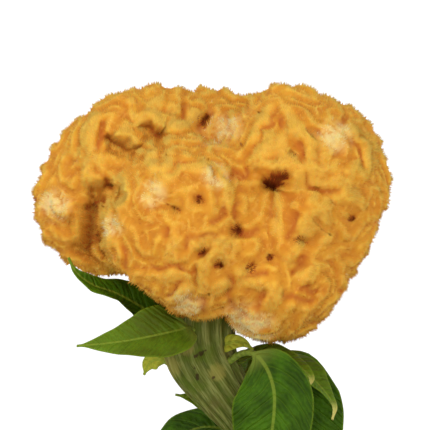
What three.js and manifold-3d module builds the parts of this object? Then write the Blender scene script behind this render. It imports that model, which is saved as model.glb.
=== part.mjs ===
// Potted cockscomb: a crested flower head on a flattened, ribbed stem, with lance-shaped
// leaves, in a clay pot filled with soil.
//
// Units are millimetres and +Z is up. The pot stands on z = 0 with its axis on the origin,
// and the front of the flower faces -Y.

import * as THREE from 'three';
import { ConvexHull } from 'three/addons/math/ConvexHull.js';
import { mergeVertices } from 'three/addons/utils/BufferGeometryUtils.js';
import Module from 'manifold-3d';

const wasm = await Module();
wasm.setup();

// Driving dimensions

// pot
const POT_HEIGHT = 112;
const POT_TOP_RADIUS = 65;
const POT_BASE_RADIUS = 43;
const POT_WALL = 6.5;
const POT_FLOOR = 8;
const RIM_HEIGHT = 25;
const RIM_STEP = 4;
const POT_SIDES = 40;
const DRAIN_RADIUS = 5;
const DRAIN_CIRCLE = 20;

// soil
const SOIL_LEVEL = 100;
const SOIL_SIDES = 40;
const SOIL_RINGS = 8;

// clearance between pieces that touch, and the wider growth of the stem that gives it
const GAP = 0.3;
const STEM_GROWTH = GAP + 0.08;

// edges shorter than this are left over from cutting
const SCRAP_EDGE = 0.05;

// points this near a crossing keep their edges
const KEEP_NEAR = 1.2;

// crest of the flower head
const FOLD_SPACING = 9.3;
const CREST_STEP = 3.8;
const CREST_HALF_WIDTH = 2.1;
const CREST_ROUND = 1.2;
const CREST_WAVE = 0.7;
const CREST_WAVELENGTH = 17;
const SHOULDER_CLEAR = 1.35;
const GROOVE_DEPTH = 8.0;
const GROOVE_SPACING = 3.5;
const GROOVE_CLEAR = 1.5;
const GROOVE_TRIES = 26000;
const SWELL = 1.0;
const SWELL_WAVELENGTH = 26;

// how steeply down a cushion's surface looks where its folds start and end running out
const UNDERSIDE = [0.88, 0.99];

// edges of the head shorter than this are closed up
const SHORT_EDGE = 1.0;

// growth of the crest line
const LINK = 2.1;
const LINK_PULL = 0.42;
const SMOOTHING = 0.32;
const FOLD_PUSH = 0.34;
const FOLD_REACH = FOLD_SPACING * 1.12;
const ROOMY = FOLD_SPACING * 1.1;
const GROWTH_IN_ROOM = 0.03;
const GROWTH_ELSEWHERE = 0.002;
const LONGEST_LINK = LINK * 1.6;
const LONGEST_MOVE = 0.55;
const JITTER = 0.06;
const FIRST_ROUNDS = 300;
const SETTLING_ROUNDS = 90;

// deep pits, which the crest keeps away from
const PIT_REACH = 7.0;
const PIT_PUSH = 0.9;
const PIT_RADIUS = 4.5;
const PIT_DEEPER = 1.9;

// leaves
const BLADE_THICKNESS = 0.7;
const RIB_THICKNESS = 1.5;
const STALK_HALF = 1.3;
const STALK_SHARE = 0.12;
const TIP_HALF = 0.45;
const TIP_TAPER = 1.35;
const LEAF_ROWS = 11;

// the five cushions of the head: centre, half sizes, lean about Y, and the dents and pits in
// their surface, a dent as a direction, an amount and a width in degrees
const CUSHIONS = [
  {
    name: 'left',
    centre: [-39.7, 9.0, 267.0],
    half: [38.6, 29.0, 29.2],
    lean: -45,
    seed: 11,
    dents: [],
    pits: [],
  },
  {
    name: 'front',
    centre: [-19.6, -19.0, 249.2],
    half: [31.0, 28.5, 33.0],
    lean: 0,
    seed: 23,
    dents: [[-0.55, 0, -0.83, -0.27, 28]],
    pits: [[-4.5, -28, 12]],
  },
  {
    name: 'right',
    centre: [19.0, -2.0, 263.0],
    half: [32.2, 38.0, 36.2],
    lean: 0,
    seed: 37,
    dents: [
      [-0.3, -0.05, 0.95, 0.09, 20],
      [0.12, 0, 1, -0.05, 13],
      [0.55, 0, 0.83, 0.05, 20],
      [0.97, 0, 0.2, 0.02, 20],
      [0.85, 0, -0.53, -0.08, 28],
    ],
    pits: [[-9.4, -30, 3]],
  },
  {
    name: 'low_right',
    centre: [11.4, -9.0, 237.6],
    half: [26.4, 32.0, 27.4],
    lean: 0,
    seed: 41,
    dents: [[0.7, 0, -0.7, -0.05, 26]],
    pits: [],
  },
  {
    name: 'back',
    centre: [-10.5, 19.0, 264.4],
    half: [39.0, 26.0, 35.6],
    lean: 0,
    seed: 53,
    dents: [],
    pits: [],
  },
];

// stem sections: centre, half width across, half depth front to back
const STEM_SECTIONS = [
  [8.0, 1.0, 86, 5.6, 5.4],
  [8.6, 1.0, 100, 6.2, 5.8],
  [10.4, 0.6, 118, 6.0, 5.4],
  [11.6, 0.2, 136, 6.0, 5.2],
  [10.6, 0.0, 152, 6.2, 5.2],
  [6.8, 0.0, 168, 6.6, 5.4],
  [0.4, 0.0, 182, 7.4, 5.8],
  [-8.0, 0.0, 194, 9.6, 6.4],
  [-14.6, 0.0, 205, 12.0, 7.0],
  [-16.4, 0.5, 215, 12.6, 7.4],
  [-15.4, 2.0, 226, 13.0, 7.6],
];
const STEM_SIDES = 28;
const STEM_ROWS = 16;

// Small helpers

// Seeded random numbers between 0 and 1.
function makeRandom(seed) {
  let state = seed >>> 0;
  return () => {
    state = (state + 0x6d2b79f5) >>> 0;
    let t = state;
    t = Math.imul(t ^ (t >>> 15), t | 1);
    t ^= t + Math.imul(t ^ (t >>> 7), t | 61);
    return ((t ^ (t >>> 14)) >>> 0) / 4294967296;
  };
}

const vec = (a) => new THREE.Vector3(a[0], a[1], a[2]);
const radians = THREE.MathUtils.degToRad;

// A smooth wavy field in space: a sum of a few seeded plane waves, about -1 to 1.
function waveField(seed, wavelength, count = 7) {
  const random = makeRandom(seed);
  const waves = [];
  for (let i = 0; i < count; i += 1) {
    const dir = new THREE.Vector3(random() - 0.5, random() - 0.5, random() - 0.5).normalize();
    const k = (2 * Math.PI) / (wavelength * (0.75 + 0.5 * random()));
    waves.push({ dir: dir.multiplyScalar(k), phase: random() * 2 * Math.PI });
  }
  return (p) => {
    let sum = 0;
    for (const w of waves) {
      sum += Math.sin(p.dot(w.dir) + w.phase);
    }
    return sum / Math.sqrt(count);
  };
}

// Closed solid from a list of points and a list of triangles.
function makeSolid(points, triangles) {
  const vertProperties = new Float32Array(points.length * 3);
  points.forEach((p, i) => {
    vertProperties[i * 3] = p.x;
    vertProperties[i * 3 + 1] = p.y;
    vertProperties[i * 3 + 2] = p.z;
  });
  const triVerts = new Uint32Array(triangles.flat());
  return new wasm.Manifold(new wasm.Mesh({ numProp: 3, vertProperties, triVerts }));
}

// Points and triangles of a solid, with its shared vertices merged.
function readSolid(solid) {
  const mesh = solid.getMesh();
  const points = [];
  for (let i = 0; i < mesh.vertProperties.length; i += mesh.numProp) {
    const v = mesh.vertProperties;
    points.push(new THREE.Vector3(v[i], v[i + 1], v[i + 2]));
  }
  const parent = points.map((_, i) => i);
  const from = mesh.mergeFromVert || [];
  const to = mesh.mergeToVert || [];
  for (let i = 0; i < from.length; i += 1) {
    parent[from[i]] = to[i];
  }
  const root = (i) => {
    let k = i;
    while (parent[k] !== k) {
      k = parent[k];
    }
    return k;
  };
  const triangles = [];
  for (let i = 0; i < mesh.triVerts.length; i += 3) {
    const t = mesh.triVerts;
    triangles.push([root(t[i]), root(t[i + 1]), root(t[i + 2])]);
  }
  return { points, triangles };
}

// Faceted geometry from points and triangles.
function makeGeometry({ points, triangles }) {
  const geometry = new THREE.BufferGeometry();
  const used = new Map();
  const position = [];
  const index = [];
  for (const tri of triangles) {
    for (const v of tri) {
      if (!used.has(v)) {
        used.set(v, used.size);
        position.push(points[v].x, points[v].y, points[v].z);
      }
      index.push(used.get(v));
    }
  }
  geometry.setAttribute('position', new THREE.Float32BufferAttribute(position, 3));
  geometry.setIndex(index);
  geometry.computeVertexNormals();
  return geometry;
}

// Volume of a closed surface, positive when its faces point out.
function signedVolume(points, triangles) {
  let sum = 0;
  const cross = new THREE.Vector3();
  for (const [a, b, c] of triangles) {
    cross.crossVectors(points[b], points[c]);
    sum += points[a].dot(cross) / 6;
  }
  return sum;
}

// The largest connected shell. Sealed hollows and loose scraps are left behind.
function largestShell({ points, triangles }) {
  const parent = points.map((_, i) => i);
  const root = (i) => {
    let k = i;
    while (parent[k] !== k) {
      parent[k] = parent[parent[k]];
      k = parent[k];
    }
    return k;
  };
  for (const [a, b, c] of triangles) {
    parent[root(a)] = root(b);
    parent[root(b)] = root(c);
  }
  const shells = new Map();
  for (const tri of triangles) {
    const r = root(tri[0]);
    if (!shells.has(r)) {
      shells.set(r, []);
    }
    shells.get(r).push(tri);
  }
  let best = null;
  let bestVolume = 0;
  for (const shell of shells.values()) {
    const volume = signedVolume(points, shell);
    if (volume > bestVolume) {
      best = shell;
      bestVolume = volume;
    }
  }
  return { points, triangles: best };
}

// Numbers of the points whose triangles pass through another part of the surface.
function crossedPoints({ points, triangles }) {
  const size = 4;
  const cells = new Map();
  const boxes = triangles.map((t) => new THREE.Box3().setFromPoints(t.map((v) => points[v])));
  const visit = (box, act) => {
    const low = box.min.clone().divideScalar(size).floor();
    const high = box.max.clone().divideScalar(size).floor();
    for (let x = low.x; x <= high.x; x += 1) {
      for (let y = low.y; y <= high.y; y += 1) {
        for (let z = low.z; z <= high.z; z += 1) {
          act(`${x},${y},${z}`);
        }
      }
    }
  };
  boxes.forEach((box, i) => visit(box, (k) => {
    cells.set(k, [...(cells.get(k) || []), i]);
  }));
  const found = new Set();
  const ray = new THREE.Ray();
  const hit = new THREE.Vector3();
  triangles.forEach((t, i) => {
    const near = new Set();
    visit(boxes[i], (k) => cells.get(k).forEach((j) => near.add(j)));
    for (const j of near) {
      const o = triangles[j];
      if (!boxes[i].intersectsBox(boxes[j])) {
        continue;
      }
      for (let e = 0; e < 3; e += 1) {
        const p = t[e];
        const q = t[(e + 1) % 3];
        if (o.includes(p) || o.includes(q)) {
          continue;
        }
        const length = points[p].distanceTo(points[q]);
        ray.origin.copy(points[p]);
        ray.direction.subVectors(points[q], points[p]).normalize();
        if (ray.intersectTriangle(points[o[0]], points[o[1]], points[o[2]], false, hit)
          && hit.distanceTo(points[p]) < length) {
          [...t, ...o].forEach((v) => found.add(v));
        }
      }
    }
  });
  return found;
}

// Removes edges shorter than a limit where that leaves the surface closed, unfolded and
// clear of itself. Where the surface comes to cross itself, the points nearby are kept.
function closeShortEdges(shape, limit) {
  const kept = new Set();
  for (let attempt = 0; attempt < 8; attempt += 1) {
    const result = mergeShortEdges(shape, limit, kept);
    const crossed = crossedPoints(result);
    if (!crossed.size) {
      return result;
    }
    shape.points.forEach((p, i) => {
      for (const v of crossed) {
        if (p.distanceTo(result.points[v]) < KEEP_NEAR) {
          kept.add(i);
        }
      }
    });
  }
  return shape;
}

// One go at removing short edges, leaving the kept points alone.
function mergeShortEdges({ points, triangles }, limit, kept) {
  const pts = points.map((p) => p.clone());
  let tris = triangles.map((t) => t.slice());
  const normal = (a, b, c) => {
    const u = new THREE.Vector3().subVectors(b, a);
    const v = new THREE.Vector3().subVectors(c, a);
    return u.cross(v);
  };
  for (let pass = 0; pass < 12; pass += 1) {
    const around = pts.map(() => []);
    tris.forEach((t, i) => t.forEach((v) => around[v].push(i)));
    const locked = new Uint8Array(pts.length);
    const dead = new Uint8Array(tris.length);
    let changed = 0;
    for (let i = 0; i < tris.length; i += 1) {
      for (let e = 0; e < 3; e += 1) {
        if (dead[i]) {
          continue;
        }
        const a = tris[i][e];
        const b = tris[i][(e + 1) % 3];
        if (locked[a] || locked[b] || kept.has(a) || kept.has(b)) {
          continue;
        }
        if (pts[a].distanceTo(pts[b]) > limit) {
          continue;
        }
        const ringA = new Set(around[a].flatMap((k) => tris[k]));
        const ringB = new Set(around[b].flatMap((k) => tris[k]));
        const shared = [...ringA].filter((v) => ringB.has(v) && v !== a && v !== b);
        if (shared.length !== 2) {
          continue;
        }
        let folds = false;
        for (const k of around[b]) {
          const t = tris[k];
          if (t.includes(a)) {
            continue;
          }
          const moved = t.map((v) => (v === b ? pts[a] : pts[v]));
          const before = normal(pts[t[0]], pts[t[1]], pts[t[2]]);
          const after = normal(moved[0], moved[1], moved[2]);
          const turn = before.dot(after) / (before.length() * after.length() || 1);
          if (before.length() > 0.02 ? turn < 0.5 : after.length() > 0.1) {
            folds = true;
          }
        }
        if (folds) {
          continue;
        }
        for (const k of around[b]) {
          if (tris[k].includes(a)) {
            dead[k] = 1;
          }
          tris[k] = tris[k].map((v) => (v === b ? a : v));
        }
        for (const v of [...ringA, ...ringB]) {
          locked[v] = 1;
        }
        changed += 1;
      }
    }
    tris = tris.filter((t, i) => !dead[i]);
    if (!changed) {
      break;
    }
  }
  return { points: pts, triangles: tris };
}

// The largest shell of a solid without its short edges.
function cleanShape(solid, limit) {
  return closeShortEdges(largestShell(readSolid(solid)), limit);
}

// Flower head

// Surface of one cushion as a radius in each direction from its centre.
function makeCushion(spec) {
  const centre = vec(spec.centre);
  const turn = new THREE.Quaternion().setFromAxisAngle(
    new THREE.Vector3(0, 1, 0),
    radians(spec.lean),
  );
  const back = turn.clone().invert();
  const swell = waveField(spec.seed + 100, SWELL_WAVELENGTH, 6);
  const dents = spec.dents.map((d) => ({
    dir: new THREE.Vector3(d[0], d[1], d[2]).normalize(),
    amount: d[3],
    sharp: 1 / (1 - Math.cos(radians(d[4]))),
  }));
  const local = new THREE.Vector3();
  const scaled = new THREE.Vector3();
  const radius = (dir) => {
    local.copy(dir).applyQuaternion(back);
    const q = Math.hypot(
      local.x / spec.half[0],
      local.y / spec.half[1],
      local.z / spec.half[2],
    );
    let r = 1 / q;
    for (const d of dents) {
      r *= 1 + d.amount * Math.exp(-d.sharp * (1 - dir.dot(d.dir)));
    }
    scaled.copy(dir).multiplyScalar(r);
    return r + SWELL * swell(scaled);
  };
  // moves a point along its ray onto the surface
  const project = (p) => {
    const dir = p.clone().sub(centre).normalize();
    return dir.clone().multiplyScalar(radius(dir)).add(centre);
  };
  // outward normal of the surface at a point on it
  const normalAt = (p) => {
    const h = 0.2;
    const height = (x, y, z) => {
      const d = new THREE.Vector3(p.x + x - centre.x, p.y + y - centre.y, p.z + z - centre.z);
      const len = d.length();
      return len - radius(d.multiplyScalar(1 / len));
    };
    return new THREE.Vector3(
      height(h, 0, 0) - height(-h, 0, 0),
      height(0, h, 0) - height(0, -h, 0),
      height(0, 0, h) - height(0, 0, -h),
    ).normalize();
  };
  return { ...spec, centre, radius, project, normalAt };
}

// Rough area of a cushion's surface.
function cushionArea(cushion) {
  const [a, b, c] = cushion.half;
  const p = 1.6075;
  const mean = ((a * b) ** p + (a * c) ** p + (b * c) ** p) / 3;
  return 4 * Math.PI * mean ** (1 / p);
}

// Centres of the deep pits, on the surface.
function pitCentres(cushion) {
  return cushion.pits.map((q) => {
    const p = new THREE.Vector3(q[0], q[1], q[2]).add(cushion.centre);
    return cushion.project(p);
  });
}

// Look-up of the points of a line that lie near a place, by cells as wide as their reach.
function lineCells(line, reach) {
  const cells = new Map();
  const cellOf = (p) => [p.x, p.y, p.z].map((v) => Math.floor(v / reach));
  line.forEach((p, i) => {
    const key = cellOf(p).join();
    if (!cells.has(key)) {
      cells.set(key, []);
    }
    cells.get(key).push(i);
  });
  return (p) => {
    const [cx, cy, cz] = cellOf(p);
    const found = [];
    for (let x = cx - 1; x <= cx + 1; x += 1) {
      for (let y = cy - 1; y <= cy + 1; y += 1) {
        for (let z = cz - 1; z <= cz + 1; z += 1) {
          found.push(...(cells.get(`${x},${y},${z}`) || []));
        }
      }
    }
    return found;
  };
}

// The wavy ring that the crest starts from, round the cushion from front to back.
function firstRing(cushion) {
  const line = [];
  for (let i = 0; i < 60; i += 1) {
    const a = (i / 60) * 2 * Math.PI;
    const wobble = 0.25 * Math.sin(3 * a + cushion.seed) + 0.15 * Math.sin(5 * a);
    const dir = new THREE.Vector3(Math.cos(a), wobble, Math.sin(a)).add(cushion.centre);
    line.push(cushion.project(dir));
  }
  return line;
}

// Adds a push away from a place to a move, fading to nothing at the reach. Returns the distance.
function pushAway(move, p, from, reach, strength) {
  const away = new THREE.Vector3().subVectors(p, from);
  const d = away.length();
  if (d < reach && d > 1e-6) {
    move.addScaledVector(away, (strength * (1 - d / reach)) / d);
  }
  return d;
}

// Moves every point of the crest line one step. Returns the line and the room round each point.
function moveCrest(line, cushion, pits, random) {
  const n = line.length;
  const near = lineCells(line, FOLD_REACH);
  const pull = new THREE.Vector3();
  const room = new Array(n).fill(FOLD_REACH * 1.5);
  const moved = line.map((p, i) => {
    const before = line[(i + n - 1) % n];
    const after = line[(i + 1) % n];
    const move = new THREE.Vector3();
    for (const q of [before, after]) {
      pull.subVectors(q, p);
      const d = pull.length() || 1e-6;
      move.addScaledVector(pull, (LINK_PULL * (d - LINK)) / d);
    }
    pull.addVectors(before, after).multiplyScalar(0.5).sub(p);
    move.addScaledVector(pull, SMOOTHING);
    for (const j of near(p)) {
      const apart = Math.min(Math.abs(i - j), n - Math.abs(i - j));
      if (apart >= 3) {
        const d = pushAway(move, p, line[j], FOLD_REACH, FOLD_PUSH);
        room[i] = apart > 5 ? Math.min(room[i], d) : room[i];
      }
    }
    for (const q of pits) {
      pushAway(move, p, q, PIT_REACH, PIT_PUSH);
    }
    move.x += (random() - 0.5) * JITTER;
    move.y += (random() - 0.5) * JITTER;
    move.z += (random() - 0.5) * JITTER;
    move.clampLength(0, LONGEST_MOVE);
    return cushion.project(move.add(p));
  });
  return { moved, room };
}

// The crest: one closed line that keeps growing on the cushion where it finds room, pushes
// itself away and so folds, until its folds lie side by side all over the surface.
function growCrest(cushion) {
  const random = makeRandom(cushion.seed);
  const target = (cushionArea(cushion) / FOLD_SPACING) * 1.08;
  const pits = pitCentres(cushion);
  let line = firstRing(cushion);
  let settled = 0;
  for (let round = 0; settled < SETTLING_ROUNDS; round += 1) {
    const { moved, room } = moveCrest(line, cushion, pits, random);
    const n = moved.length;
    const free = room.filter((d) => d > ROOMY).length / n;
    const full = lineLength(moved) > target || (round > FIRST_ROUNDS && free < 0.05);
    settled = full || settled ? settled + 1 : 0;
    line = [];
    for (let i = 0; i < n; i += 1) {
      line.push(moved[i]);
      const after = moved[(i + 1) % n];
      const chance = room[i] > ROOMY ? GROWTH_IN_ROOM : GROWTH_ELSEWHERE;
      if (moved[i].distanceTo(after) > LONGEST_LINK || (!settled && random() < chance)) {
        line.push(cushion.project(moved[i].clone().add(after).multiplyScalar(0.5)));
      }
    }
  }
  return line;
}

// Length of a closed line.
function lineLength(line) {
  return line.reduce((sum, p, i) => sum + p.distanceTo(line[(i + 1) % line.length]), 0);
}

// Points at equal steps along a closed line.
function evenSteps(line, step) {
  const n = line.length;
  const total = lineLength(line);
  const count = Math.round(total / step);
  const every = total / count;
  const out = [];
  let travelled = 0;
  let due = 0;
  for (let i = 0; i < n; i += 1) {
    const a = line[i];
    const b = line[(i + 1) % n];
    const d = a.distanceTo(b);
    while (due <= travelled + d && out.length < count) {
      out.push(a.clone().lerp(b, (due - travelled) / d));
      due += every;
    }
    travelled += d;
  }
  return out;
}

// A grid of cells for the distance to the nearest point, up to the size of a cell.
function nearGrid(size) {
  const cells = new Map();
  const key = (...at) => at.map((v) => Math.floor(v / size)).join();
  return {
    add(p) {
      const k = key(p.x, p.y, p.z);
      if (!cells.has(k)) {
        cells.set(k, []);
      }
      cells.get(k).push(p);
    },
    nearest(p) {
      let best = size;
      for (let x = -1; x <= 1; x += 1) {
        for (let y = -1; y <= 1; y += 1) {
          for (let z = -1; z <= 1; z += 1) {
            const k = key(p.x + x * size, p.y + y * size, p.z + z * size);
            for (const q of cells.get(k) || []) {
              best = Math.min(best, p.distanceTo(q));
            }
          }
        }
      }
      return best;
    },
  };
}

// One folded cushion: crest line, its two rounded shoulders, and groove points between.
function foldedCushion(spec) {
  const cushion = makeCushion(spec);
  const random = makeRandom(spec.seed + 7);
  const crest = evenSteps(growCrest(cushion), CREST_STEP).map((p) => cushion.project(p));
  const n = crest.length;
  const taken = nearGrid(FOLD_SPACING);
  const crestGrid = nearGrid(FOLD_SPACING);
  const rows = [];
  const high = waveField(spec.seed + 9, CREST_WAVELENGTH, 6);
  const keep = (p, drop) => {
    const dir = p.clone().sub(cushion.centre).normalize();
    rows.push({ dir, radius: cushion.radius(dir) - drop });
    taken.add(p);
  };
  // how near a point is to the underside, where the folds run out
  const flat = (p) => {
    const dir = p.clone().sub(cushion.centre).normalize();
    return THREE.MathUtils.smoothstep(-dir.z, ...UNDERSIDE);
  };
  for (const p of crest) {
    keep(p, CREST_WAVE * high(p) * (1 - flat(p)));
    crestGrid.add(p);
  }
  for (let i = 0; i < n; i += 1) {
    const p = crest[i];
    const along = new THREE.Vector3().subVectors(crest[(i + 1) % n], crest[(i + n - 1) % n]);
    const side = new THREE.Vector3().crossVectors(cushion.normalAt(p), along).normalize();
    for (const sign of [-1, 1]) {
      const q = cushion.project(p.clone().addScaledVector(side, sign * CREST_HALF_WIDTH));
      if (taken.nearest(q) > SHOULDER_CLEAR) {
        keep(q, CREST_ROUND + CREST_WAVE * high(q) * (1 - flat(q)));
      }
    }
  }
  const grooves = nearGrid(FOLD_SPACING);
  const pits = pitCentres(cushion);
  for (let i = 0; i < GROOVE_TRIES; i += 1) {
    const u = 2 * random() - 1;
    const a = 2 * Math.PI * random();
    const s = Math.sqrt(1 - u * u);
    const dir = new THREE.Vector3(s * Math.cos(a), s * Math.sin(a), u);
    const p = dir.clone().multiplyScalar(cushion.radius(dir)).add(cushion.centre);
    const d = crestGrid.nearest(p);
    const clear = d > CREST_HALF_WIDTH + GROOVE_CLEAR && taken.nearest(p) > GROOVE_CLEAR;
    if (clear && grooves.nearest(p) > GROOVE_SPACING) {
      // wide grooves are deeper than narrow ones, and pits deeper still
      const wide = Math.min(1.25, d / (FOLD_SPACING / 2));
      const deep = pits.some((q) => q.distanceTo(p) < PIT_RADIUS) ? PIT_DEEPER : 1;
      const depth = GROOVE_DEPTH * (0.35 + 0.65 * wide) * (0.9 + 0.2 * random()) * deep;
      grooves.add(p);
      rows.push({ dir, radius: cushion.radius(dir) - depth * (1 - 0.8 * flat(p)) });
    }
  }
  // triangles: the hull of all directions joins each point to its neighbours
  const marks = rows.map((r) => r.dir);
  const order = new Map(marks.map((m, i) => [m, i]));
  const hull = new ConvexHull().setFromPoints(marks);
  const triangles = hull.faces.map((face) => {
    const e = face.edge;
    return [e.head().point, e.next.head().point, e.next.next.head().point].map((m) => order.get(m));
  });
  const points = rows.map((r) => r.dir.clone().multiplyScalar(r.radius).add(cushion.centre));
  return { points, triangles };
}

// The whole head: the cushions joined, with the hole that the stem stands in.
function makeBloom(stemHole) {
  let solid = null;
  for (const spec of CUSHIONS) {
    const { points, triangles } = foldedCushion(spec);
    const piece = makeSolid(points, triangles);
    solid = solid ? solid.add(piece) : piece;
  }
  const whole = cleanShape(solid, SHORT_EDGE);
  return cleanShape(makeSolid(whole.points, whole.triangles).subtract(stemHole), SCRAP_EDGE);
}

// Stem

// Ribbed stem; grow makes it wider all round, for the holes that it stands in.
function makeStem(grow) {
  const centres = new THREE.CatmullRomCurve3(STEM_SECTIONS.map((s) => vec(s)));
  const sizes = new THREE.CatmullRomCurve3(
    STEM_SECTIONS.map((s, i) => new THREE.Vector3(s[3], s[4], i)),
  );
  const points = [];
  const triangles = [];
  for (let r = 0; r <= STEM_ROWS; r += 1) {
    const t = r / STEM_ROWS;
    const c = centres.getPoint(t);
    const along = centres.getTangent(t);
    const size = sizes.getPoint(t);
    const end = r === 0 ? -grow : r === STEM_ROWS ? grow : 0;
    c.addScaledVector(along, end);
    const across = new THREE.Vector3(along.z, 0, -along.x).normalize();
    const depth = new THREE.Vector3().crossVectors(along, across).normalize();
    for (let k = 0; k < STEM_SIDES; k += 1) {
      const a = (k / STEM_SIDES) * 2 * Math.PI;
      const ribs = 1 + (0.035 + 0.03 * t) * (k % 2 ? -1 : 1);
      const extra = 0.02 * Math.sin(3 * a + 9 * t);
      const x = (size.x * (ribs + extra) + grow) * Math.cos(a);
      const y = (size.y * (ribs + extra) + grow) * Math.sin(a);
      points.push(c.clone().addScaledVector(across, x).addScaledVector(depth, y));
    }
  }
  const n = STEM_SIDES;
  for (let r = 0; r < STEM_ROWS; r += 1) {
    for (let k = 0; k < n; k += 1) {
      const a = r * n + k;
      const b = r * n + ((k + 1) % n);
      triangles.push([a, b, b + n], [a, b + n, a + n]);
    }
  }
  const low = points.length;
  points.push(centres.getPoint(0).addScaledVector(centres.getTangent(0), -grow));
  points.push(centres.getPoint(1).addScaledVector(centres.getTangent(1), grow + 0.5));
  const top = STEM_ROWS * n;
  for (let k = 0; k < n; k += 1) {
    triangles.push([low, (k + 1) % n, k]);
    triangles.push([low + 1, top + k, top + ((k + 1) % n)]);
  }
  if (signedVolume(points, triangles) < 0) {
    triangles.forEach((t) => t.reverse());
  }
  return { points, triangles };
}

// Leaves

// Each leaf: points of its midrib from the stem to the tip, half width, the way its upper
// face looks, how far the two halves fold up in degrees, the height and number of the waves
// of its margin, how full it is below the middle, and its rows and stalk where they differ.
const LEAVES = [
  {
    path: [[-22, 2, 211], [-31, 5, 219], [-44, 0, 227], [-53, -5, 230.5], [-58.5, -8, 235],
      [-61, -9, 240]],
    half: 7.0, face: [-0.2, -0.7, 0.65], fold: 16, wave: 0.8, waves: 2.5, wide: 0.6,
  },
  {
    path: [[-17, -4, 214.5], [-21, -10.5, 215], [-28, -14, 213.6], [-38, -15, 211.6], [-48, -14.5, 210.2],
      [-58, -12.5, 209.3]],
    half: 10.4, face: [-0.1, -0.85, 0.45], fold: 14, wave: 0.9, waves: 2, wide: 0.42, rows: 13,
  },
  {
    path: [[-23, 3, 201], [-29.5, 6, 204], [-33.2, 7.5, 202.4], [-35, 8, 198.5]],
    half: 3.5, face: [-0.2, -0.95, 0.2], fold: 10, wave: 0.3, waves: 1, wide: 0.8, rows: 7, stalk: 0.3,
  },
  {
    path: [[-9, 3, 185.5], [-15, 7, 189.5], [-20, 8, 190.8], [-24, 8, 191.6]],
    half: 3.2, face: [-0.2, -0.8, 0.6], fold: 10, wave: 0.3, waves: 1, wide: 0.6, rows: 7,
  },
  {
    path: [[1, 3, 172], [-7, 10, 179], [-17, 14, 179], [-28, 15, 171], [-38, 14, 158], [-44, 12, 146]],
    half: 9.2, face: [-0.35, -0.5, 0.8], fold: 16, wave: 0.9, waves: 2.5, wide: 0.6,
  },
  {
    path: [[-10, -2, 207.5], [-4.5, -4.5, 210.2], [0, -5, 210], [3.4, -5.5, 207.8]],
    half: 3.2, face: [0.1, -0.9, 0.4], fold: 12, wave: 0.3, waves: 1, wide: 0.6, rows: 7,
  },
  {
    path: [[-6, -3, 203], [-0.5, -8, 206.6], [4, -13.5, 206.4], [8, -17, 201.6], [10.4, -18.5, 194],
      [10.4, -18.5, 186], [8.6, -17, 172], [7, -14, 158], [6.5, -12, 147]],
    half: 14.5, face: [-0.15, -0.95, 0.1], fold: 12, wave: 1.1, waves: 3, wide: 0.75, rows: 14, stalk: 0.2,
  },
  {
    path: [[-6, 1, 200.5], [3, -1, 205], [12, -4.5, 205], [19, -9.5, 202], [23.4, -13.5, 197.6],
      [21.8, -15, 194.6]],
    half: 5.8, face: [0.35, -0.5, 0.8], fold: 20, wave: 0.6, waves: 2, wide: 0.75,
  },
  {
    path: [[-4, 3, 196], [7, 6, 202], [17, 3, 202.4], [26, -2, 195.5], [31.5, -5, 187.5], [30.8, -7, 183.5]],
    half: 7.4, face: [0.4, -0.45, 0.8], fold: 18, wave: 0.8, waves: 2.5, wide: 0.75,
  },
  {
    path: [[-3, 4, 191], [5, 10, 200], [12, 12.5, 203.4], [16.8, 13, 200], [19, 12, 190], [21, 11, 178],
      [23.5, 9.5, 163], [26, 8, 149]],
    half: 15.5, face: [0.1, -0.98, 0.15], fold: 10, wave: 1.1, waves: 3, wide: 0.85, rows: 14, stalk: 0.26,
  },
  {
    path: [[-9, 4, 192], [-7, 16, 202], [-5, 31, 203], [-3, 44, 191], [-1, 52, 174]],
    half: 9.5, face: [0, 0.5, 0.8], fold: 14, wave: 1.0, waves: 3, wide: 0.6, rows: 9,
  },
  {
    path: [[3, 3, 170], [3, 14, 178], [12, 28, 183], [27, 38, 174], [36, 43, 158]],
    half: 9.5, face: [0.4, 0.4, 0.8], fold: 14, wave: 1.0, waves: 3, wide: 0.6, rows: 9,
  },
  {
    path: [[8, 1, 148], [-4, -3, 158], [-20, -10, 161], [-40, -18, 151], [-56, -24, 135], [-62, -26, 124]],
    half: 12, face: [-0.3, -0.2, 0.9], fold: 14, wave: 1.2, waves: 3, wide: 0.6, rows: 9,
  },
  {
    path: [[13, 0, 140], [27, -6, 151], [46, -12, 152], [64, -17, 139], [75, -20, 124]],
    half: 12.5, face: [0.3, -0.2, 0.9], fold: 14, wave: 1.2, waves: 3, wide: 0.6, rows: 9,
  },
  {
    path: [[11, -2, 127], [8, -17, 139], [2, -36, 142], [-6, -54, 132], [-10, -65, 118]],
    half: 12, face: [0, -0.4, 0.9], fold: 14, wave: 1.2, waves: 3, wide: 0.6, rows: 9,
  },
  {
    path: [[12, 2, 131], [16, 18, 143], [22, 36, 146], [28, 54, 136], [31, 65, 122]],
    half: 12, face: [0.1, 0.4, 0.9], fold: 14, wave: 1.2, waves: 3, wide: 0.6, rows: 9,
  },
  {
    path: [[12, -2, 116], [23, -14, 126], [36, -27, 128], [47, -37, 120]],
    half: 8, face: [0.3, -0.3, 0.9], fold: 14, wave: 0.8, waves: 2.5, wide: 0.6, rows: 8,
  },
  {
    path: [[9, 3, 114], [-3, 14, 125], [-18, 25, 127], [-31, 35, 119]],
    half: 8, face: [-0.3, 0.3, 0.9], fold: 14, wave: 0.8, waves: 2.5, wide: 0.6, rows: 8,
  },
];

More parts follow.
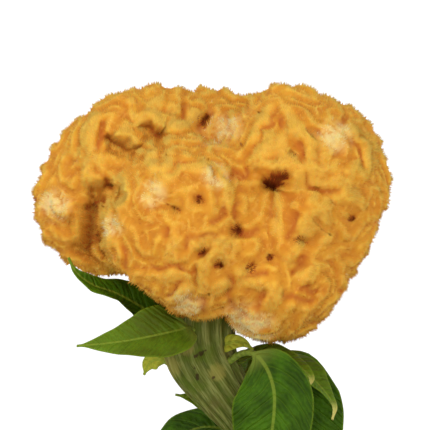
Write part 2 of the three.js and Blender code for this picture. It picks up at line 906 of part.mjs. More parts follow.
// One leaf: two faces a blade's thickness apart, thicker along the midrib.
function makeLeaf(spec, number) {
  const random = makeRandom(900 + number);
  const curve = new THREE.CatmullRomCurve3(spec.path.map(vec), false, 'centripetal');
  const rows = spec.rows || LEAF_ROWS;
  const stalk = spec.stalk || STALK_SHARE;
  const shift = 2 * Math.PI * random();
  const peak = spec.wide / (spec.wide + TIP_TAPER);
  const columns = [-1, -0.5, 0, 0.5, 1];
  const n = columns.length;
  const upper = [];
  const lower = [];
  for (let r = 0; r <= rows; r += 1) {
    const t = r / rows;
    const middle = curve.getPointAt(t);
    const along = curve.getTangentAt(t);
    const side = new THREE.Vector3().crossVectors(along, vec(spec.face)).normalize();
    const up = new THREE.Vector3().crossVectors(side, along).normalize();
    const u = Math.max(0, (t - stalk) / (1 - stalk));
    const blade = spec.half * (u / peak) ** spec.wide * ((1 - u) / (1 - peak)) ** TIP_TAPER;
    const half = Math.max(blade, THREE.MathUtils.lerp(STALK_HALF, TIP_HALF, t));
    const fold = radians(spec.fold);
    for (const v of columns) {
      const rise = Math.abs(v) * half * Math.sin(fold);
      const turn = 2 * Math.PI * spec.waves * t + shift + (v > 0 ? 1.9 : 0);
      const ripple = spec.wave * v * v * Math.sin(turn) * Math.min(1, blade / spec.half + 0.1);
      const thin = Math.min(1, 2 * Math.abs(v) + 0.7 * t);
      const thick = THREE.MathUtils.lerp(RIB_THICKNESS, BLADE_THICKNESS, thin);
      const p = middle.clone().addScaledVector(side, v * half * Math.cos(fold));
      p.addScaledVector(up, rise + ripple);
      upper.push(p.clone().addScaledVector(up, thick / 2));
      lower.push(p.clone().addScaledVector(up, -thick / 2));
    }
  }
  const points = [...upper, ...lower];
  const base = upper.length;
  const triangles = [];
  // four corners as two triangles
  const quad = (a, b, c, d) => {
    triangles.push([a, b, c], [a, c, d]);
  };
  for (let r = 0; r < rows; r += 1) {
    for (let c = 0; c < n - 1; c += 1) {
      const a = r * n + c;
      // both faces are split by the same diagonal, mirrored about the midrib
      const pair = c < (n - 1) / 2
        ? [[a, a + 1, a + n + 1], [a, a + n + 1, a + n]]
        : [[a, a + 1, a + n], [a + 1, a + n + 1, a + n]];
      for (const [i, j, k] of pair) {
        triangles.push([i, j, k], [base + i, base + k, base + j]);
      }
    }
    const left = r * n;
    const right = r * n + n - 1;
    quad(left, left + n, base + left + n, base + left);
    quad(right + n, right, base + right, base + right + n);
  }
  for (let c = 0; c < n - 1; c += 1) {
    const last = rows * n + c;
    quad(c + 1, c, base + c, base + c + 1);
    quad(last, last + 1, base + last + 1, base + last);
  }
  if (signedVolume(points, triangles) < 0) {
    triangles.forEach((t) => t.reverse());
  }
  return makeSolid(points, triangles);
}

// Pot and soil

// Closed solid from a closed three.js geometry.
function geometrySolid(geometry) {
  geometry.deleteAttribute('normal');
  geometry.deleteAttribute('uv');
  const merged = mergeVertices(geometry, 1e-4);
  const { position } = merged.attributes;
  const points = [];
  for (let i = 0; i < position.count; i += 1) {
    points.push(new THREE.Vector3().fromBufferAttribute(position, i));
  }
  const triangles = [];
  const index = merged.index.array;
  for (let i = 0; i < index.length; i += 3) {
    const [a, b, c] = [index[i], index[i + 1], index[i + 2]];
    if (a !== b && b !== c && c !== a) {
      triangles.push([a, b, c]);
    }
  }
  if (signedVolume(points, triangles) < 0) {
    triangles.forEach((t) => t.reverse());
  }
  return makeSolid(points, triangles);
}

// inside radius of the pot at a height
function innerRadius(z) {
  const share = z / POT_HEIGHT;
  return THREE.MathUtils.lerp(POT_BASE_RADIUS, POT_TOP_RADIUS, share) - POT_WALL;
}

// Tapered pot with a rim band and three drain holes in its floor.
function makePot() {
  const band = POT_HEIGHT - RIM_HEIGHT;
  const bandRadius = THREE.MathUtils.lerp(POT_BASE_RADIUS, POT_TOP_RADIUS, band / POT_HEIGHT);
  const profile = [
    [0, 0],
    [POT_BASE_RADIUS - 1.2, 0],
    [POT_BASE_RADIUS, 1.2],
    [bandRadius - RIM_STEP, band],
    [POT_TOP_RADIUS - 2.6, band],
    [POT_TOP_RADIUS - 1.6, band + 1.0],
    [POT_TOP_RADIUS, POT_HEIGHT - 2.0],
    [POT_TOP_RADIUS - 1.8, POT_HEIGHT],
    [innerRadius(POT_HEIGHT) + 1.8, POT_HEIGHT],
    [innerRadius(POT_HEIGHT - 1.6), POT_HEIGHT - 1.6],
    [innerRadius(POT_FLOOR + 3) - 0.4, POT_FLOOR + 3],
    [innerRadius(POT_FLOOR) - 3, POT_FLOOR],
    [0, POT_FLOOR],
  ];
  const outline = profile.map((p) => new THREE.Vector2(p[0], p[1]));
  // a lathe turns its outline about Y, and the pot stands along Z
  let solid = geometrySolid(new THREE.LatheGeometry(outline, POT_SIDES).rotateX(Math.PI / 2));
  for (let i = 0; i < 3; i += 1) {
    const a = radians(90 + 120 * i);
    const x = DRAIN_CIRCLE * Math.cos(a);
    const y = DRAIN_CIRCLE * Math.sin(a);
    const plug = new THREE.CylinderGeometry(DRAIN_RADIUS, DRAIN_RADIUS, POT_FLOOR + 4, 14);
    plug.rotateX(Math.PI / 2);
    plug.translate(x, y, POT_FLOOR / 2);
    solid = solid.subtract(geometrySolid(plug));
  }
  return solid;
}

// Soil: crumbly top raised from the surface by a formula, sides along the pot's inner wall.
function makeSoil() {
  const random = makeRandom(77);
  const broad = waveField(5, 34, 6);
  const fine = waveField(6, 9, 8);
  const points = [];
  const triangles = [];
  const top = innerRadius(SOIL_LEVEL) - 1;
  points.push(new THREE.Vector3(0, 0, SOIL_LEVEL + 0.5));
  for (let r = 1; r <= SOIL_RINGS; r += 1) {
    const rim = r === SOIL_RINGS;
    for (let k = 0; k < SOIL_SIDES; k += 1) {
      const turn = rim ? k : k + 0.5 * (r % 2) + 0.5 * (random() - 0.5);
      const away = (top * r) / SOIL_RINGS + (rim ? 0 : 1.6 * (random() - 0.5));
      const a = (turn / SOIL_SIDES) * 2 * Math.PI;
      const p = new THREE.Vector3(away * Math.cos(a), away * Math.sin(a), 0);
      p.z = SOIL_LEVEL + 0.8 * broad(p);
      if (rim) {
        p.z -= 1.2;
        const fit = innerRadius(p.z) - GAP - 0.4;
        p.set(fit * Math.cos(a), fit * Math.sin(a), p.z);
      } else {
        p.z += 0.7 * fine(p) + 2.2 * (random() - 0.45);
      }
      points.push(p);
    }
  }
  const n = SOIL_SIDES;
  const low = points.length;
  const levels = [POT_FLOOR + 3.2, POT_FLOOR + GAP];
  const radii = [innerRadius(POT_FLOOR + 3) - 0.85, innerRadius(POT_FLOOR) - 3.6];
  for (let j = 0; j < 2; j += 1) {
    for (let k = 0; k < n; k += 1) {
      const a = (k / n) * 2 * Math.PI;
      points.push(new THREE.Vector3(radii[j] * Math.cos(a), radii[j] * Math.sin(a), levels[j]));
    }
  }
  points.push(new THREE.Vector3(0, 0, POT_FLOOR + GAP));
  const bottom = points.length - 1;
  for (let k = 0; k < n; k += 1) {
    triangles.push([0, 1 + k, 1 + ((k + 1) % n)]);
    triangles.push([bottom, low + n + ((k + 1) % n), low + n + k]);
  }
  for (let r = 0; r < SOIL_RINGS + 1; r += 1) {
    for (let k = 0; k < n; k += 1) {
      const a = 1 + r * n + k;
      const b = 1 + r * n + ((k + 1) % n);
      triangles.push([a, a + n, b + n], [a, b + n, b]);
    }
  }
  return makeSolid(points, triangles).subtract(stemHole);
}

// The scene graph

const root = new THREE.Group();

function addMesh(name, shape, color, roughness) {
  const material = new THREE.MeshStandardMaterial({ color, roughness, metalness: 0 });
  const mesh = new THREE.Mesh(makeGeometry(shape), material);
  mesh.name = name;
  root.add(mesh);
}

const stem = makeStem(0);
const hole = makeStem(STEM_GROWTH);
const stemHole = makeSolid(hole.points, hole.triangles);

addMesh('pot', readSolid(makePot()), 0xb5673f, 0.85);
addMesh('soil', cleanShape(makeSoil(), SCRAP_EDGE), 0x2e2219, 0.95);
addMesh('stem', stem, 0x8f9a5c, 0.6);
addMesh('bloom', makeBloom(stemHole), 0xe9a52c, 0.9);
LEAVES.forEach((spec, i) => {
  const number = String(i + 1).padStart(2, '0');
  const blade = cleanShape(makeLeaf(spec, i).subtract(stemHole), SCRAP_EDGE);
  addMesh(`leaf_${number}`, blade, 0x3f6a16, 0.55);
});

export default root;
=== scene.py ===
# %% [markdown]
# # A potted cockscomb
#
# A cockscomb is a celosia whose stem tip grew into one long wavy crest instead of a point.
# The crest folds like a brain into a heavy golden head. It stands on a flattened, ribbed
# stem with lance-shaped leaves, in a clay pot of soil.
#
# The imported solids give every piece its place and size. This lesson dresses them: it loads
# the solids first, then works from the head down to the pot, and ends with light and camera.

# %% The frame
import math
from collections import namedtuple
from itertools import combinations

import bpy
import numpy as np
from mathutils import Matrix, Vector


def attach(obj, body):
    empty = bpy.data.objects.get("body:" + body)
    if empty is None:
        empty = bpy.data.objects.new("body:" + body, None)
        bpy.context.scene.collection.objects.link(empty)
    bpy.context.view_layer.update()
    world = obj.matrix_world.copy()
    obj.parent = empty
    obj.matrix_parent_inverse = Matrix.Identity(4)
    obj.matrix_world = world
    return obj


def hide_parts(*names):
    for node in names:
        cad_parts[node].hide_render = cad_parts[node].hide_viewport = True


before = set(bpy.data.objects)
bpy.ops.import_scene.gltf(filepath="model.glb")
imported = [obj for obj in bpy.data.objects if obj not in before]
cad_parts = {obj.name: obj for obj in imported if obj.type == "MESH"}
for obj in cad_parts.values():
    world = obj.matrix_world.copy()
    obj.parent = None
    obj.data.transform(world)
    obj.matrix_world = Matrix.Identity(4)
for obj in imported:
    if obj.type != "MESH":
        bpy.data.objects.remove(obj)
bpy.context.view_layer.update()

MM = 0.001

# %% [markdown]
# ## Waves instead of images
#
# Growth is uneven but never sudden: a fold swells, leans and fades over centimetres. A few
# plane waves of random direction added together give such a field at any point of space.
# The same seed always gives the same field, so the plant comes out the same each time.

# %% A wavy field in space
WAVES_ADDED = 8


def waves(points, seed, length):
    """A smooth field at each point, about -1 to 1, whose bumps are `length` apart."""
    random = np.random.default_rng(seed)
    total = np.zeros(len(points))
    for _ in range(WAVES_ADDED):
        way = random.normal(size=3)
        way *= 2 * math.pi / (np.linalg.norm(way) * length * random.uniform(0.75, 1.25))
        total += np.sin(points @ way + random.uniform(0, 2 * math.pi))
    return total / math.sqrt(WAVES_ADDED)


def ease(low, high, values):
    """0 below low, 1 above high, and a smooth step between."""
    t = np.clip((values - low) / (high - low), 0, 1)
    return t * t * (3 - 2 * t)


print("a wave over 3 cm:", waves(np.linspace(0, 30 * MM, 5)[:, None] * [1, 0, 0], 1, 12 * MM).round(2))

# %% [markdown]
# ## Shader sums as Python sums
#
# A finish is mostly arithmetic on a few masks. `Wire` wraps the output of a node, so that
# `1 - mask * 0.5` adds its Math nodes by itself. `Nodes` holds a node tree: its `node` method
# adds any node, its settings first and then the values or wires of its sockets, and `coats`
# lays colours over each other. `Finish` is the tree of one material, which ends in a
# Principled shader.

# %% Wires and finishes
class Wire:
    """A number, colour or vector on its way from one node to the next."""

    def __init__(self, nodes, socket):
        self.nodes = nodes
        self.socket = socket

    def join(self, operation, first, second):
        """What a Math node makes of two numbers."""
        return self.nodes.node("Math", {"operation": operation}, {0: first, 1: second})

    def __add__(self, other):
        return self.join("ADD", self, other)

    __radd__ = __add__

    def __mul__(self, other):
        return self.join("MULTIPLY", self, other)

    __rmul__ = __mul__

    def __sub__(self, other):
        return self.join("SUBTRACT", self, other)

    def __rsub__(self, other):
        return self.join("SUBTRACT", other, self)

    def __abs__(self):
        return self.join("ABSOLUTE", self, 0.0)

    def fraction(self):
        """What is left of the number past the last whole one."""
        return self.join("FRACT", self, 0.0)

    def step(self, low, high):
        """0 where the number is at low, 1 where it is at high, and smooth between."""
        settings = {"interpolation_type": "SMOOTHSTEP"}
        return self.nodes.node("MapRange", settings, {0: self, 1: low, 2: high})


class Nodes:
    """A node tree with one method that adds any node, and short forms for the usual ones."""

    def __init__(self, tree):
        self.tree = tree

    def node(self, kind, settings=None, values=None, output=0):
        """Adds a node: its kind, its settings, the values of its sockets and which output to use."""
        made = self.tree.nodes.new("ShaderNode" + kind)
        for name, value in (settings or {}).items():
            setattr(made, name, value)
        for socket, value in (values or {}).items():
            self.plug(made.inputs[socket], value)
        return Wire(self, made.outputs[output])

    def plug(self, socket, value):
        """Links a wire to a socket, or sets the socket to a plain value."""
        if isinstance(value, Wire):
            self.tree.links.new(value.socket, socket)
        else:
            socket.default_value = value

    def mix(self, first, second, mask):
        """The first colour where the mask is 0, and the second where it is 1."""
        return self.node("Mix", {"data_type": "RGBA"}, {0: mask, 6: first, 7: second}, output=2)

    def coats(self, tone, *coats):
        """The tone under coats of colour: each a code, a mask (or a field's name) and its share."""
        for code, mask, share in coats:
            if isinstance(mask, str):
                mask = self.attribute(mask)
            tone = self.mix(tone, colour(code), mask * share)
        return tone

    def attribute(self, name):
        """A field that the points of the mesh carry."""
        return self.node("Attribute", {"attribute_name": name}, output=2)

    def place(self):
        """The point in the frame that is being coloured."""
        return self.node("TexCoord", output=3)

    def noise(self, size, detail=3.0, vector=None):
        """Cloudy noise, 0 to 1, with clouds of a size in metres."""
        values = {"Vector": vector or self.place(), "Scale": 1 / size, "Detail": detail}
        return self.node("TexNoise", {}, values)

    def bump(self, height, distance, strength):
        """A normal that leans as a relief of that height would, at most so many metres deep."""
        values = {"Height": height, "Distance": distance, "Strength": strength}
        return self.node("Bump", {}, values)


class Finish(Nodes):
    """One material. Sockets of its shader are set by name, with _ for a space."""

    def __init__(self, name, **fixed):
        self.material = bpy.data.materials.new(name)
        self.material.use_nodes = True
        super().__init__(self.material.node_tree)
        self.shader = self.tree.nodes["Principled BSDF"]
        self.paint(**fixed)

    def paint(self, **sockets):
        """Sets sockets of the shader, and gives back the material."""
        for socket, value in sockets.items():
            self.plug(self.shader.inputs[socket.replace("_", " ")], value)
        return self.material


def colour(code):
    """A screen colour such as 'f0b840' as the linear one that shaders use."""
    parts = [int(code[i:i + 2], 16) / 255 for i in (0, 2, 4)]
    linear = [p / 12.92 if p <= 0.04045 else ((p + 0.055) / 1.055) ** 2.4 for p in parts]
    return (*linear, 1.0)


print("golden:", [round(c, 3) for c in colour("f0b840")])

# %% [markdown]
# ## Pieces from arrays
#
# Most pieces here are worked out with numpy: a list of points and a list of faces. Two
# functions turn them into an object that rides on the part's body, stands for its CAD nodes
# and takes its finish from one material.

# %% Meshes from points and faces
def make_mesh(name, points, faces, fields=None, normals=None):
    """A smooth mesh from points (metres) and faces of equal size, with number fields on its points."""
    faces = np.asarray(faces, dtype=np.int32)
    corners = faces.shape[1]
    mesh = bpy.data.meshes.new(name)
    mesh.vertices.add(len(points))
    mesh.vertices.foreach_set("co", np.asarray(points, dtype=np.float32).ravel())
    mesh.loops.add(faces.size)
    mesh.loops.foreach_set("vertex_index", faces.ravel())
    mesh.polygons.add(len(faces))
    mesh.polygons.foreach_set("loop_start", np.arange(0, faces.size, corners, dtype=np.int32))
    mesh.polygons.foreach_set("use_smooth", np.full(len(faces), True))
    mesh.update(calc_edges=True)
    if normals is not None:
        mesh.normals_split_custom_set_from_vertices(normals.tolist())
    for field, values in (fields or {}).items():
        made = mesh.attributes.new(field, "FLOAT", "POINT")
        made.data.foreach_set("value", np.asarray(values, dtype=np.float32))
    return mesh


def make_piece(name, mesh, material, nodes):
    """An object with the mesh, riding on the plant's one body and standing for its CAD nodes."""
    mesh.materials.clear()
    mesh.materials.append(material)
    piece = bpy.data.objects.new(name, mesh)
    bpy.context.scene.collection.objects.link(piece)
    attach(piece, "root")
    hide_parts(*nodes)
    triangles = len(mesh.loops) - 2 * len(mesh.polygons)
    print(f"{name}: {len(mesh.vertices)} points, {triangles} triangles")


trial = make_mesh("trial", [(0, 0, 0), (1, 0, 0), (1, 1, 0), (0, 1, 0)], [(0, 1, 2), (0, 2, 3)])
print("a trial square of two triangles:", len(trial.edges), "edges")
bpy.data.meshes.remove(trial)

# %% [markdown]
# ## The head: an even skin to work on
#
# The solid of the head has about ten thousand flat facets, enough for its folds but not for
# velvet. Subdividing would keep its long thin triangles, so it is first smoothed, then
# remeshed into an even net of small squares. It is swollen a little before that, so that
# walls that nearly touch grow together and leave a soft seam. On an even net a point can be
# averaged with its neighbours, and that is all the next steps need.

# %% Even skin
SKIN_GRAIN = 0.84 * MM
SWOLLEN = 0.6 * MM


def reshaped(mesh, *steps):
    """A copy of a mesh with modifiers applied, each given as a kind and its settings."""
    holder = bpy.data.objects.new("holder", mesh)
    bpy.context.scene.collection.objects.link(holder)
    for kind, settings in steps:
        modifier = holder.modifiers.new(kind, kind)
        for name, value in settings.items():
            setattr(modifier, name, value)
    ready = holder.evaluated_get(bpy.context.evaluated_depsgraph_get())
    result = bpy.data.meshes.new_from_object(ready)
    bpy.data.objects.remove(holder)
    return result


skin = reshaped(
    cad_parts["bloom"].data.copy(),
    ("WELD", {"merge_threshold": 0.01 * MM}),
    ("SUBSURF", {"levels": 2}),
    ("DISPLACE", {"strength": SWOLLEN, "mid_level": 0}),
    ("REMESH", {"mode": "VOXEL", "voxel_size": SKIN_GRAIN}),
)
print("skin of the head:", len(skin.vertices), "points")

# %% [markdown]
# ## The head: where is a fold high, and where is it deep?
#
# Averaging each point with its neighbours over and over melts the folds away. The distance
# between a point and its melted place then says how high it stands: above zero on a crest,
# below zero in a groove. Few rounds show the narrow crest line, many rounds the whole fold.

# %% Melting the folds
SMOOTHING = 2
MELTING = 90


def read(items, field, width):
    """A field of a mesh's points, edges or faces, as rows of so many numbers."""
    kind = np.float32 if field == "co" else np.int32
    values = np.empty(len(items) * width, dtype=kind)
    items.foreach_get(field, values)
    return values.reshape(-1, width)


def dots(first, second):
    """The dot product of each pair of rows."""
    return np.einsum("ij,ij->i", first, second)


def summed(index, rows, count):
    """Rows of numbers added up by their index, for so many indices."""
    return np.stack([np.bincount(index, column, count) for column in rows.T], axis=1)


def melt(values, edges, rounds):
    """Numbers on the points, or rows of them, after rounds of averaging with their neighbours."""
    rows = values.reshape(len(values), -1)
    first, second = edges.T
    count = np.bincount(edges.ravel(), minlength=len(rows))[:, None] + 1.0
    for _ in range(rounds):
        total = rows + summed(first, rows[second], len(rows))
        rows = (total + summed(second, rows[first], len(rows))) / count
    return rows.reshape(values.shape)


def normals_of(points, quads):
    """Unit normals of the points of a net of squares."""
    a, b, c, d = (points[corner] for corner in quads.T)
    across = np.cross(c - a, d - b)
    total = sum(summed(corner, across, len(points)) for corner in quads.T)
    return total / np.maximum(np.linalg.norm(total, axis=1, keepdims=True), 1e-12)


edges = read(skin.edges, "vertices", 2)
quads = read(skin.polygons, "vertices", 4)
points = melt(read(skin.vertices, "co", 3).astype(float), edges, SMOOTHING)
melted = melt(points, edges, MELTING)
outward = normals_of(melted, quads)
height = dots(points - melted, outward)
print("height over the melted head, mm:", (np.percentile(height, [1, 25, 50, 75, 99]) / MM).round(2))

# %% [markdown]
# ## The head: plump velvet folds
#
# The real folds are soft walls pressed against each other, twice as many as the solid has.
# From outside one sees soft bands and thin seams, and only here and there a deep gap. The
# bands are grown as spots and stripes grow on a coat: each point takes the side of its near
# neighbours and shuns the farther ones, until winding bands are left. On the front the
# main crests and clefts are given as curves, and the bands grow to fit them. Elsewhere they
# start from the solid's own folds, at twice their number, so they run along with them. The
# pits and the hollows between the cushions stay open and are pushed in.

# %% Pits, crests and clefts of the front
# how far across, how high up and what radius, in millimetres; the front surface gives the depth
PITS = [
    (-14.9, 259.3, 1.8),
    (-20.2, 253.4, 1.8),
    (-2.3, 247.8, 2.4),
    (15.2, 247.1, 2.6),
    (-14.2, 242.2, 1.8),
    (1.2, 239.1, 2.2),
    (-8.3, 236.6, 2.2),
    (9.3, 238.7, 1.8),
    (20.3, 273.7, 1.6),
    (33.4, 255.9, 1.6),
    (-2.3, 277.5, 1.4),
    (-15.0, 287.0, 2.6),
]
# how far across and how high up, in millimetres, along the gaps, crests and clefts of the front
OPENING = [[(7, 265.9), (10.2, 267.4), (13.6, 268.4)], [(10.8, 265.4), (12.6, 267.6)]]
HOLLOWS = [
    [(-44.5, 279.3), (-40.5, 277.8), (-37.4, 276.6)],
    [(-32.4, 284), (-31.2, 281.6), (-29, 280.8)],
]
CUSHION_EDGE = [
    (-42.5, 267), (-40.3, 261.5), (-43.5, 258.8), (-47.5, 257.8), (-48.3, 254), (-48.2, 249.5), (-47, 243.5),
]
CRESTS = [
    CUSHION_EDGE,
    [(-37.6, 289.6), (-34.2, 287.4), (-36.3, 285.1), (-40.8, 285.4), (-42.9, 282.8), (-40.1, 280.9),
     (-36.6, 278.3)],
    [(-30, 294), (-32.8, 291), (-30, 288), (-27.9, 284.3)],
    [(-24.7, 293), (-25.9, 288.4), (-23, 285.4), (-18.8, 286.7), (-16.1, 290.4)],
    [(-51.7, 289.2), (-52.9, 285.8), (-54.8, 282.1), (-53.6, 279), (-57.8, 275.6)],
    [(-49.1, 271.4), (-49.8, 274.4), (-52.9, 275.2), (-54.6, 271.4), (-54.5, 267.6), (-51.7, 266.8)],
    [(-32, 276.3), (-31.8, 272.2), (-29, 269.5), (-25.9, 271.8), (-25.9, 275.2)],
    [(-33.9, 260.4), (-30.1, 264.6), (-22.5, 270.3), (-13, 272.2), (-8.1, 269.5), (-5.8, 263.8),
     (-6.2, 258.3)],
    [(8.7, 291.2), (5.8, 287.4), (3.4, 282.1)],
    [(14.4, 291.2), (16.3, 287.4), (19.8, 284.3)],
    [(12.5, 275.2), (12.5, 280.9), (16.3, 283.5), (21.6, 282.8), (23.5, 278.3), (24.3, 273.4), (26.6, 271.4)],
    [(26.6, 273.4), (28.1, 278.3), (31.1, 279.8), (33.8, 282.1)],
    [(12.5, 279), (16.3, 274.4), (18.6, 270), (19.6, 264)],
    [(21.8, 271), (26.2, 269.8), (31.1, 270.6)],
    [(23, 267), (27, 265.6), (33.8, 266.2)],
    [(9.5, 282), (9.5, 278.3), (5.3, 275.9), (3.4, 272.9), (9.5, 272), (14, 271.6)],
    [(43.5, 272), (43, 276.7), (45.2, 278.3), (47.4, 276.7)],
    [(37.3, 284.3), (40.6, 281.3), (44.4, 281.3)],
    [(34.9, 263.8), (36.1, 269.5), (38.7, 271.4), (41, 269.5)],
    [(-24.8, 239.5), (-25, 242.8), (-23.3, 246.2)],
    [(-17.9, 244.8), (-7.9, 246.2), (-4.6, 244.8), (-3.6, 242.1)],
    [(-6.6, 240.1), (-9.6, 242.1), (-12.6, 240.1), (-14.3, 236.8), (-14.6, 231.4), (-11.6, 228.1),
     (-6.2, 231.4)],
    [(-25.4, 225), (-23.3, 226.8), (-20, 230.1), (-16.6, 229.7)],
    [(-29.7, 233.4), (-23.3, 234.1), (-17.3, 233.4)],
    [(12, 262), (11.8, 257), (11.3, 253.5), (11.5, 249)],
    [(23.7, 260.2), (24.7, 256.2), (20.7, 252.5), (18.7, 247.5), (18.7, 243.5), (15, 239.5)],
    [(28.4, 253.5), (26.7, 257.5), (30.4, 260.9), (35.4, 261.5), (40.5, 259.2)],
    [(9.3, 224), (11.3, 228.4), (10, 230.7), (6.3, 231.7), (-0.7, 232.4), (-1.4, 235.1), (1.9, 236.8)],
    [(18.7, 235.1), (21.4, 232.7), (24.7, 236.8)],
    [(20.7, 248.8), (24.4, 250.8), (28.1, 248.8), (27.4, 246.2)],
]
CLEFTS = [
    [(-49.1, 286.6), (-48.3, 281.3), (-51.7, 279)],
    [(-33.1, 287.7), (-30.9, 283.5), (-28.9, 281.3)],
    [(-11.5, 290.7), (-14.2, 288.4), (-16.1, 284.7)],
    [(-21.4, 292.3), (-21.4, 288.8)],
    [(-26.3, 269.5), (-23.3, 271.8), (-20.6, 273)],
    [(12.9, 288.9), (12.9, 285.8)],
    [(6.5, 283.5), (9.5, 287.7), (10.7, 291.2)],
    [(18.2, 279.4), (19.4, 275.9), (20.5, 273.3)],
    [(25.4, 276.7), (25.4, 272.9)],
    [(21.6, 285.1), (24.7, 281.6)],
    [(38.7, 281.3), (38.9, 276.7), (40.8, 271.5)],
    [(35.3, 288.9), (33.8, 286.6)],
    [(20.6, 268.5), (22, 264.6), (26.5, 262.8), (33, 263.2)],
    [(-5.7, 268.4), (-0.4, 267.6), (1.6, 269.9)],
    [(-6.6, 257.5), (-10.6, 252.2)],
    [(-1.9, 258.9), (-3.6, 253.9)],
    [(-2.5, 247.5), (4, 249.2)],
    [(-26.7, 250.1), (-27.3, 247.8)],
    [(-10, 247.8), (-19.3, 246.4), (-20, 243.5)],
    [(-11.9, 244.1), (-14.6, 241.5)],
    [(-30.7, 237.4), (-21.3, 236.8)],
    [(-17, 236.5), (-17.2, 232.8)],
    [(-4.6, 233.5), (-5.2, 226.7), (-0.6, 220)],
    [(6.6, 229.4), (4.9, 225), (4, 222)],
    [(-41.4, 243.5), (-40.7, 237.4)],
    [(-14.6, 226.1), (-13.3, 219.3)],
    [(-22, 231.4), (-25.3, 227.4)],
    [(-5.2, 218.7), (-6.6, 215.3)],
    [(16.7, 255.2), (16.7, 250.1), (15.3, 247.5)],
    [(21.4, 240.1), (16, 235.1)],
    [(7, 235), (1.5, 234.4)],
    [(13.6, 227.5), (18, 225.7), (24.1, 225.4)],
    [(18.7, 229.4), (24.1, 229.4)],
    [(10, 259.2), (9.6, 255.2)],
]
print("given on the front:", len(PITS), "pits,", len(CRESTS), "crests,", len(CLEFTS), "clefts")

# %% Spots and curves on the skin
def on_front(points, places):
    """Spots with the depth of the front surface: across, depth, up, radius, in millimetres."""
    placed = []
    for x, z, radius in places:
        near = np.linalg.norm(points[:, [0, 2]] - np.array([x, z]) * MM, axis=1) < 1.5 * MM
        placed.append((x, points[near, 1].min() / MM, z, radius))
    return placed


def spots(points, places, soft=1.3):
    """1 at the middle of each spot, fading to 0 round it. Spots reach further front to back."""
    found = np.zeros(len(points))
    for x, y, z, radius in places:
        away = np.linalg.norm((points - np.array([x, y, z]) * MM) * [1, 0.4, 1], axis=1)
        found = np.maximum(found, 1 - ease(0.5 * radius * MM, soft * radius * MM, away))
    return found


def settle(points, height, places, reach=4.5):
    """The same spots, each moved to the deepest point of the skin within its reach."""
    settled = []
    for x, y, z, radius in places:
        away = np.linalg.norm((points - np.array([x, y, z]) * MM) * [1, 0.5, 1], axis=1)
        near = np.flatnonzero(away < reach * MM)
        deepest = points[near[np.argmin(height[near])]] / MM
        settled.append((*deepest, radius))
    return settled


def along(points, curves, near, far):
    """1 on the curves, seen from the front, fading to 0 between the two distances."""
    flat = points[:, [0, 2]] / MM
    away = np.full(len(points), far)
    for curve in curves:
        for start, end in zip(np.array(curve[:-1]), np.array(curve[1:])):
            way = end - start
            share = np.clip((flat - start) @ way / (way @ way), 0, 1)
            away = np.minimum(away, np.linalg.norm(flat - start - share[:, None] * way, axis=1))
    return 1 - ease(near, far, away)


print("front of the spots, mm:", [round(y) for _, y, _, _ in on_front(points, PITS)])

# %% A labyrinth of fine folds
NEAR_ROUNDS = 3
FAR_ROUNDS = 14
SHARPNESS = 5
GROWTH_ROUNDS = 16
CLEFT_PULL = 1.3


def swerved(points, seed, length, amount):
    """Points moved by about so many millimetres, with waves of their own for each axis."""
    moves = [waves(points, seed + axis, length) for axis in range(3)]
    return points + np.stack(moves, axis=1) * amount * MM


def labyrinth(start, given, edges):
    """Winding bands, -1 to 1, about 7 mm apart, that grow out of the start and keep to what is given."""
    bands = start
    for _ in range(GROWTH_ROUNDS):
        near = melt(bands, edges, NEAR_ROUNDS)
        bands = np.tanh(SHARPNESS * (near - melt(near, edges, FAR_ROUNDS)) + 2 * given)
    return bands


lowest, highest = np.percentile(height, [2, 98])
doubled = np.cos(2 * math.pi * ((height - lowest) / (highest - lowest)))
front = ease(0.1, 0.5, -outward[:, 1])
winding = swerved(points, 51, 6 * MM, 0.35)
crest_line = front * along(winding, CRESTS, 0.8, 3.0)
cleft_line = front * along(winding, CLEFTS, 0.2, 1.7)
given = crest_line - CLEFT_PULL * cleft_line
start = 0.5 * doubled + 0.3 * np.random.default_rng(9).normal(size=len(points))
bands = labyrinth(start + 2 * given, given, edges)
print("share of the skin on a fine fold:", (bands > 0).mean().round(2))

# %% Pits and hollows
PIT_DEPTH = 2.6 * MM
HOLLOW_DEPTH = 7.0 * MM
# the slope that falls in beside the front cushion: its left end, its foot and its top, in millimetres
SLOPE_LEFT = (-75, -55)
SLOPE_FOOT = (237, 245)
SLOPE_TOP = (264.5, 267.5)

ragged = swerved(points, 61, 2.5 * MM, 0.5)
opening = front * along(ragged, OPENING, 0.8, 2.2)
pit = np.maximum(spots(ragged, settle(points, height, on_front(points, PITS))), opening)
edge_z, edge_x = np.array(sorted((z, x) for x, z in CUSHION_EDGE)).T * MM
past_edge = (ragged[:, 0] - np.interp(ragged[:, 2], edge_z, edge_x)) / MM + 0.8
up = ragged[:, 2] / MM
slope = ease(-15, -0.5, past_edge) * (1 - ease(-0.6, 0.6, past_edge))
slope = slope * ease(*SLOPE_FOOT, up) * (1 - ease(*SLOPE_TOP, up)) * ease(*SLOPE_LEFT, points[:, 0] / MM)
hollow = front * np.maximum(slope, 0.6 * along(ragged, HOLLOWS, 1.5, 4.4))
open_spot = np.clip(1 - pit - hollow, 0, 1)
print("share of the skin: pits", pit.mean().round(3), "hollows", hollow.mean().round(3))

# %% Plump folds
SWELLING = 0.45 * MM
FINE_FOLD = 0.7 * MM
CREST_LIFT = 0.5 * MM
CLEFT_DEPTH = 1.15 * MM
SEAM_LEVEL = -0.2 * MM
SEAM_FILL = 0.7
# how much of the solid's relief is taken off everywhere, where it is calm, and on the front
FLATTER = 0.52
CALM = 0.3
FRONT_CALM = 0.25
CALM_PLACE = (-34, -40, 257, 12)
# rounds of averaging in the seams, for the fine folds, and to tell a crest from its flanks
SEAM_ROUNDS = 12
FOLD_ROUNDS = 4
CREST_ROUNDS = 16

